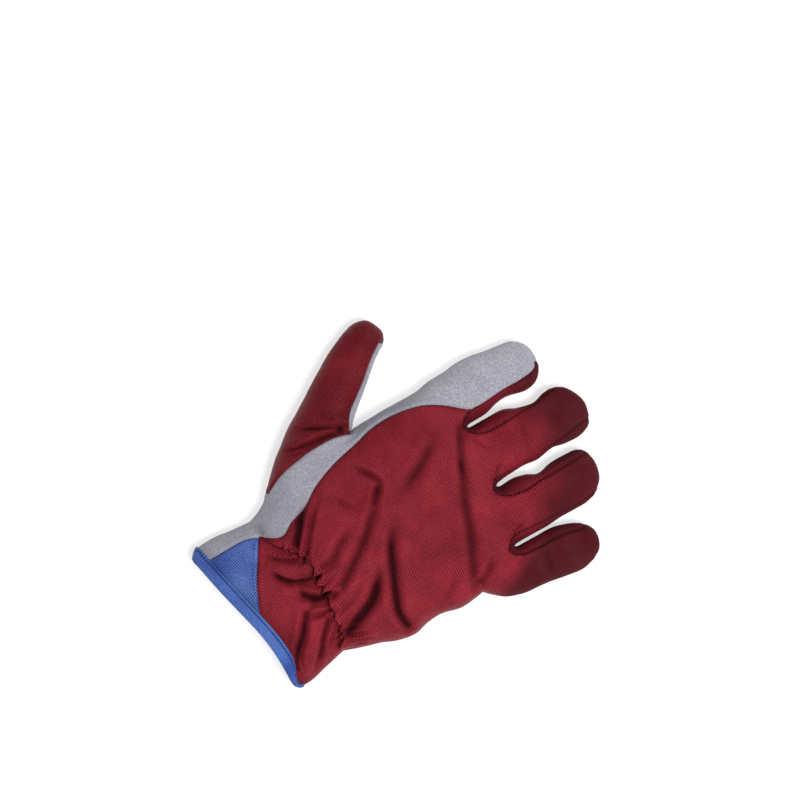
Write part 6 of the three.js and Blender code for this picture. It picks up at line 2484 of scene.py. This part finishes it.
# ---- The glove --------------------------------------------------------------
@dataclass
class WorkGlove:
    """The whole glove, piece by piece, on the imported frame.

    Attributes:
        cutter: draws its skin.
        looks: its materials.
        keystone_rows: how far in from the thumb's seam each row of stitches lies, in mm.
    """

    cutter: SkinCutter = field(default_factory=lambda: SkinCutter(GloveForm(), Density()))
    looks: dict[Finish, bpy.types.Material] = field(default_factory=dict)
    keystone_rows: tuple[float, ...] = (2.0, 5.0)

    def finishes(self) -> None:
        """Builds the shader groups and the materials."""
        rib_group()
        nap_group()
        self.looks = {finish: finish.value.material() for finish in Finish}

    def place(self, piece: bpy.types.Object, slot: str, node: str | None = None) -> None:
        """Joins a piece to the frame.

        Args:
            piece: the piece.
            slot: the record's material slot; not used.
            node: the solid that it stands for, if any.
        """
        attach(piece, "root")
        if node:
            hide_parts(node)
        log.info("%s: %d faces", piece.name, len(piece.data.polygons))

    def panels(self, cloth: SewnCloth) -> None:
        """Builds the eight sewn panels.

        Args:
            cloth: the sewn cloth.
        """
        for panel in Panel:
            finish, slot = DRESS[panel]
            made = cloth.panel(panel)
            if panel is Panel.BACK:
                made.flat = fanned(made.flat)
            self.place(made.build(f"{panel.value}_cloth", self.looks[finish]), slot, panel.value)

    def binding(self, cloth: SewnCloth) -> CuffBinding:
        """Builds the cuff's tape.

        Args:
            cloth: the sewn cloth.

        Returns:
            The tape, for its stitches.
        """
        binding = CuffBinding(cloth)
        piece = binding.mesh().build("cuff_binding_tape", self.looks[Finish.TAPE])
        self.place(piece, "binding_tape", "cuff_binding")
        return binding

    def stitches(self, cloth: SewnCloth, binding: CuffBinding) -> None:
        """Lays the visible stitch lines.

        Args:
            cloth: the sewn cloth.
            binding: the cuff's tape.
        """
        lines, form = SeamLines(cloth), self.cutter.form
        red, grey, blue = (self.looks[f] for f in (Finish.RED_THREAD, Finish.GREY_THREAD, Finish.BLUE_THREAD))
        crotches = [lines.round_crotch(k) for k in range(3)]
        vent = spread(VENT_STITCHES, 60)
        vent = lines.snapped(np.column_stack([vent, form.top(vent)]), 0.05)
        seam = spread(KEYSTONE, 80)[3:-3]
        moved = [seam - outwards(seam) * inset for inset in self.keystone_rows]
        keystone = [np.column_stack([row, form.under(row) + 0.25]) for row in moved]
        tape = [binding.stitch_path()]
        # Name, lines, thread, slot, pitch, length and thickness.
        for row in (
            StitchRow("fourchette_stitches", crotches, red, "red_fabric", 2.6, 1.6, 1.05),
            StitchRow("binding_stitches", tape, blue, "binding_tape", 2.3, 1.7, binding.thread),
            StitchRow("vent_stitches", [vent], blue, "vent_fabric", 2.2, 1.3, 0.65),
            StitchRow("keystone_stitches", keystone, grey, "grey_leather", 2.8, 2.0, 0.45),
        ):
            self.place(row.build(), row.slot)

    def build(self) -> None:
        """Builds every piece of the glove."""
        self.finishes()
        self.cutter.cut()
        log.info("skin: %d places", self.cutter.skin.count)
        cloth = SewnCloth(self.cutter)
        self.panels(cloth)
        self.stitches(cloth, self.binding(cloth))


def main() -> None:
    """Loads the frame, builds the glove and the studio, and notes the sizes."""
    logging.basicConfig(level=logging.INFO, format="%(message)s")
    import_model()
    WorkGlove().build()
    Studio().build()


if __name__ == "__main__":
    main()
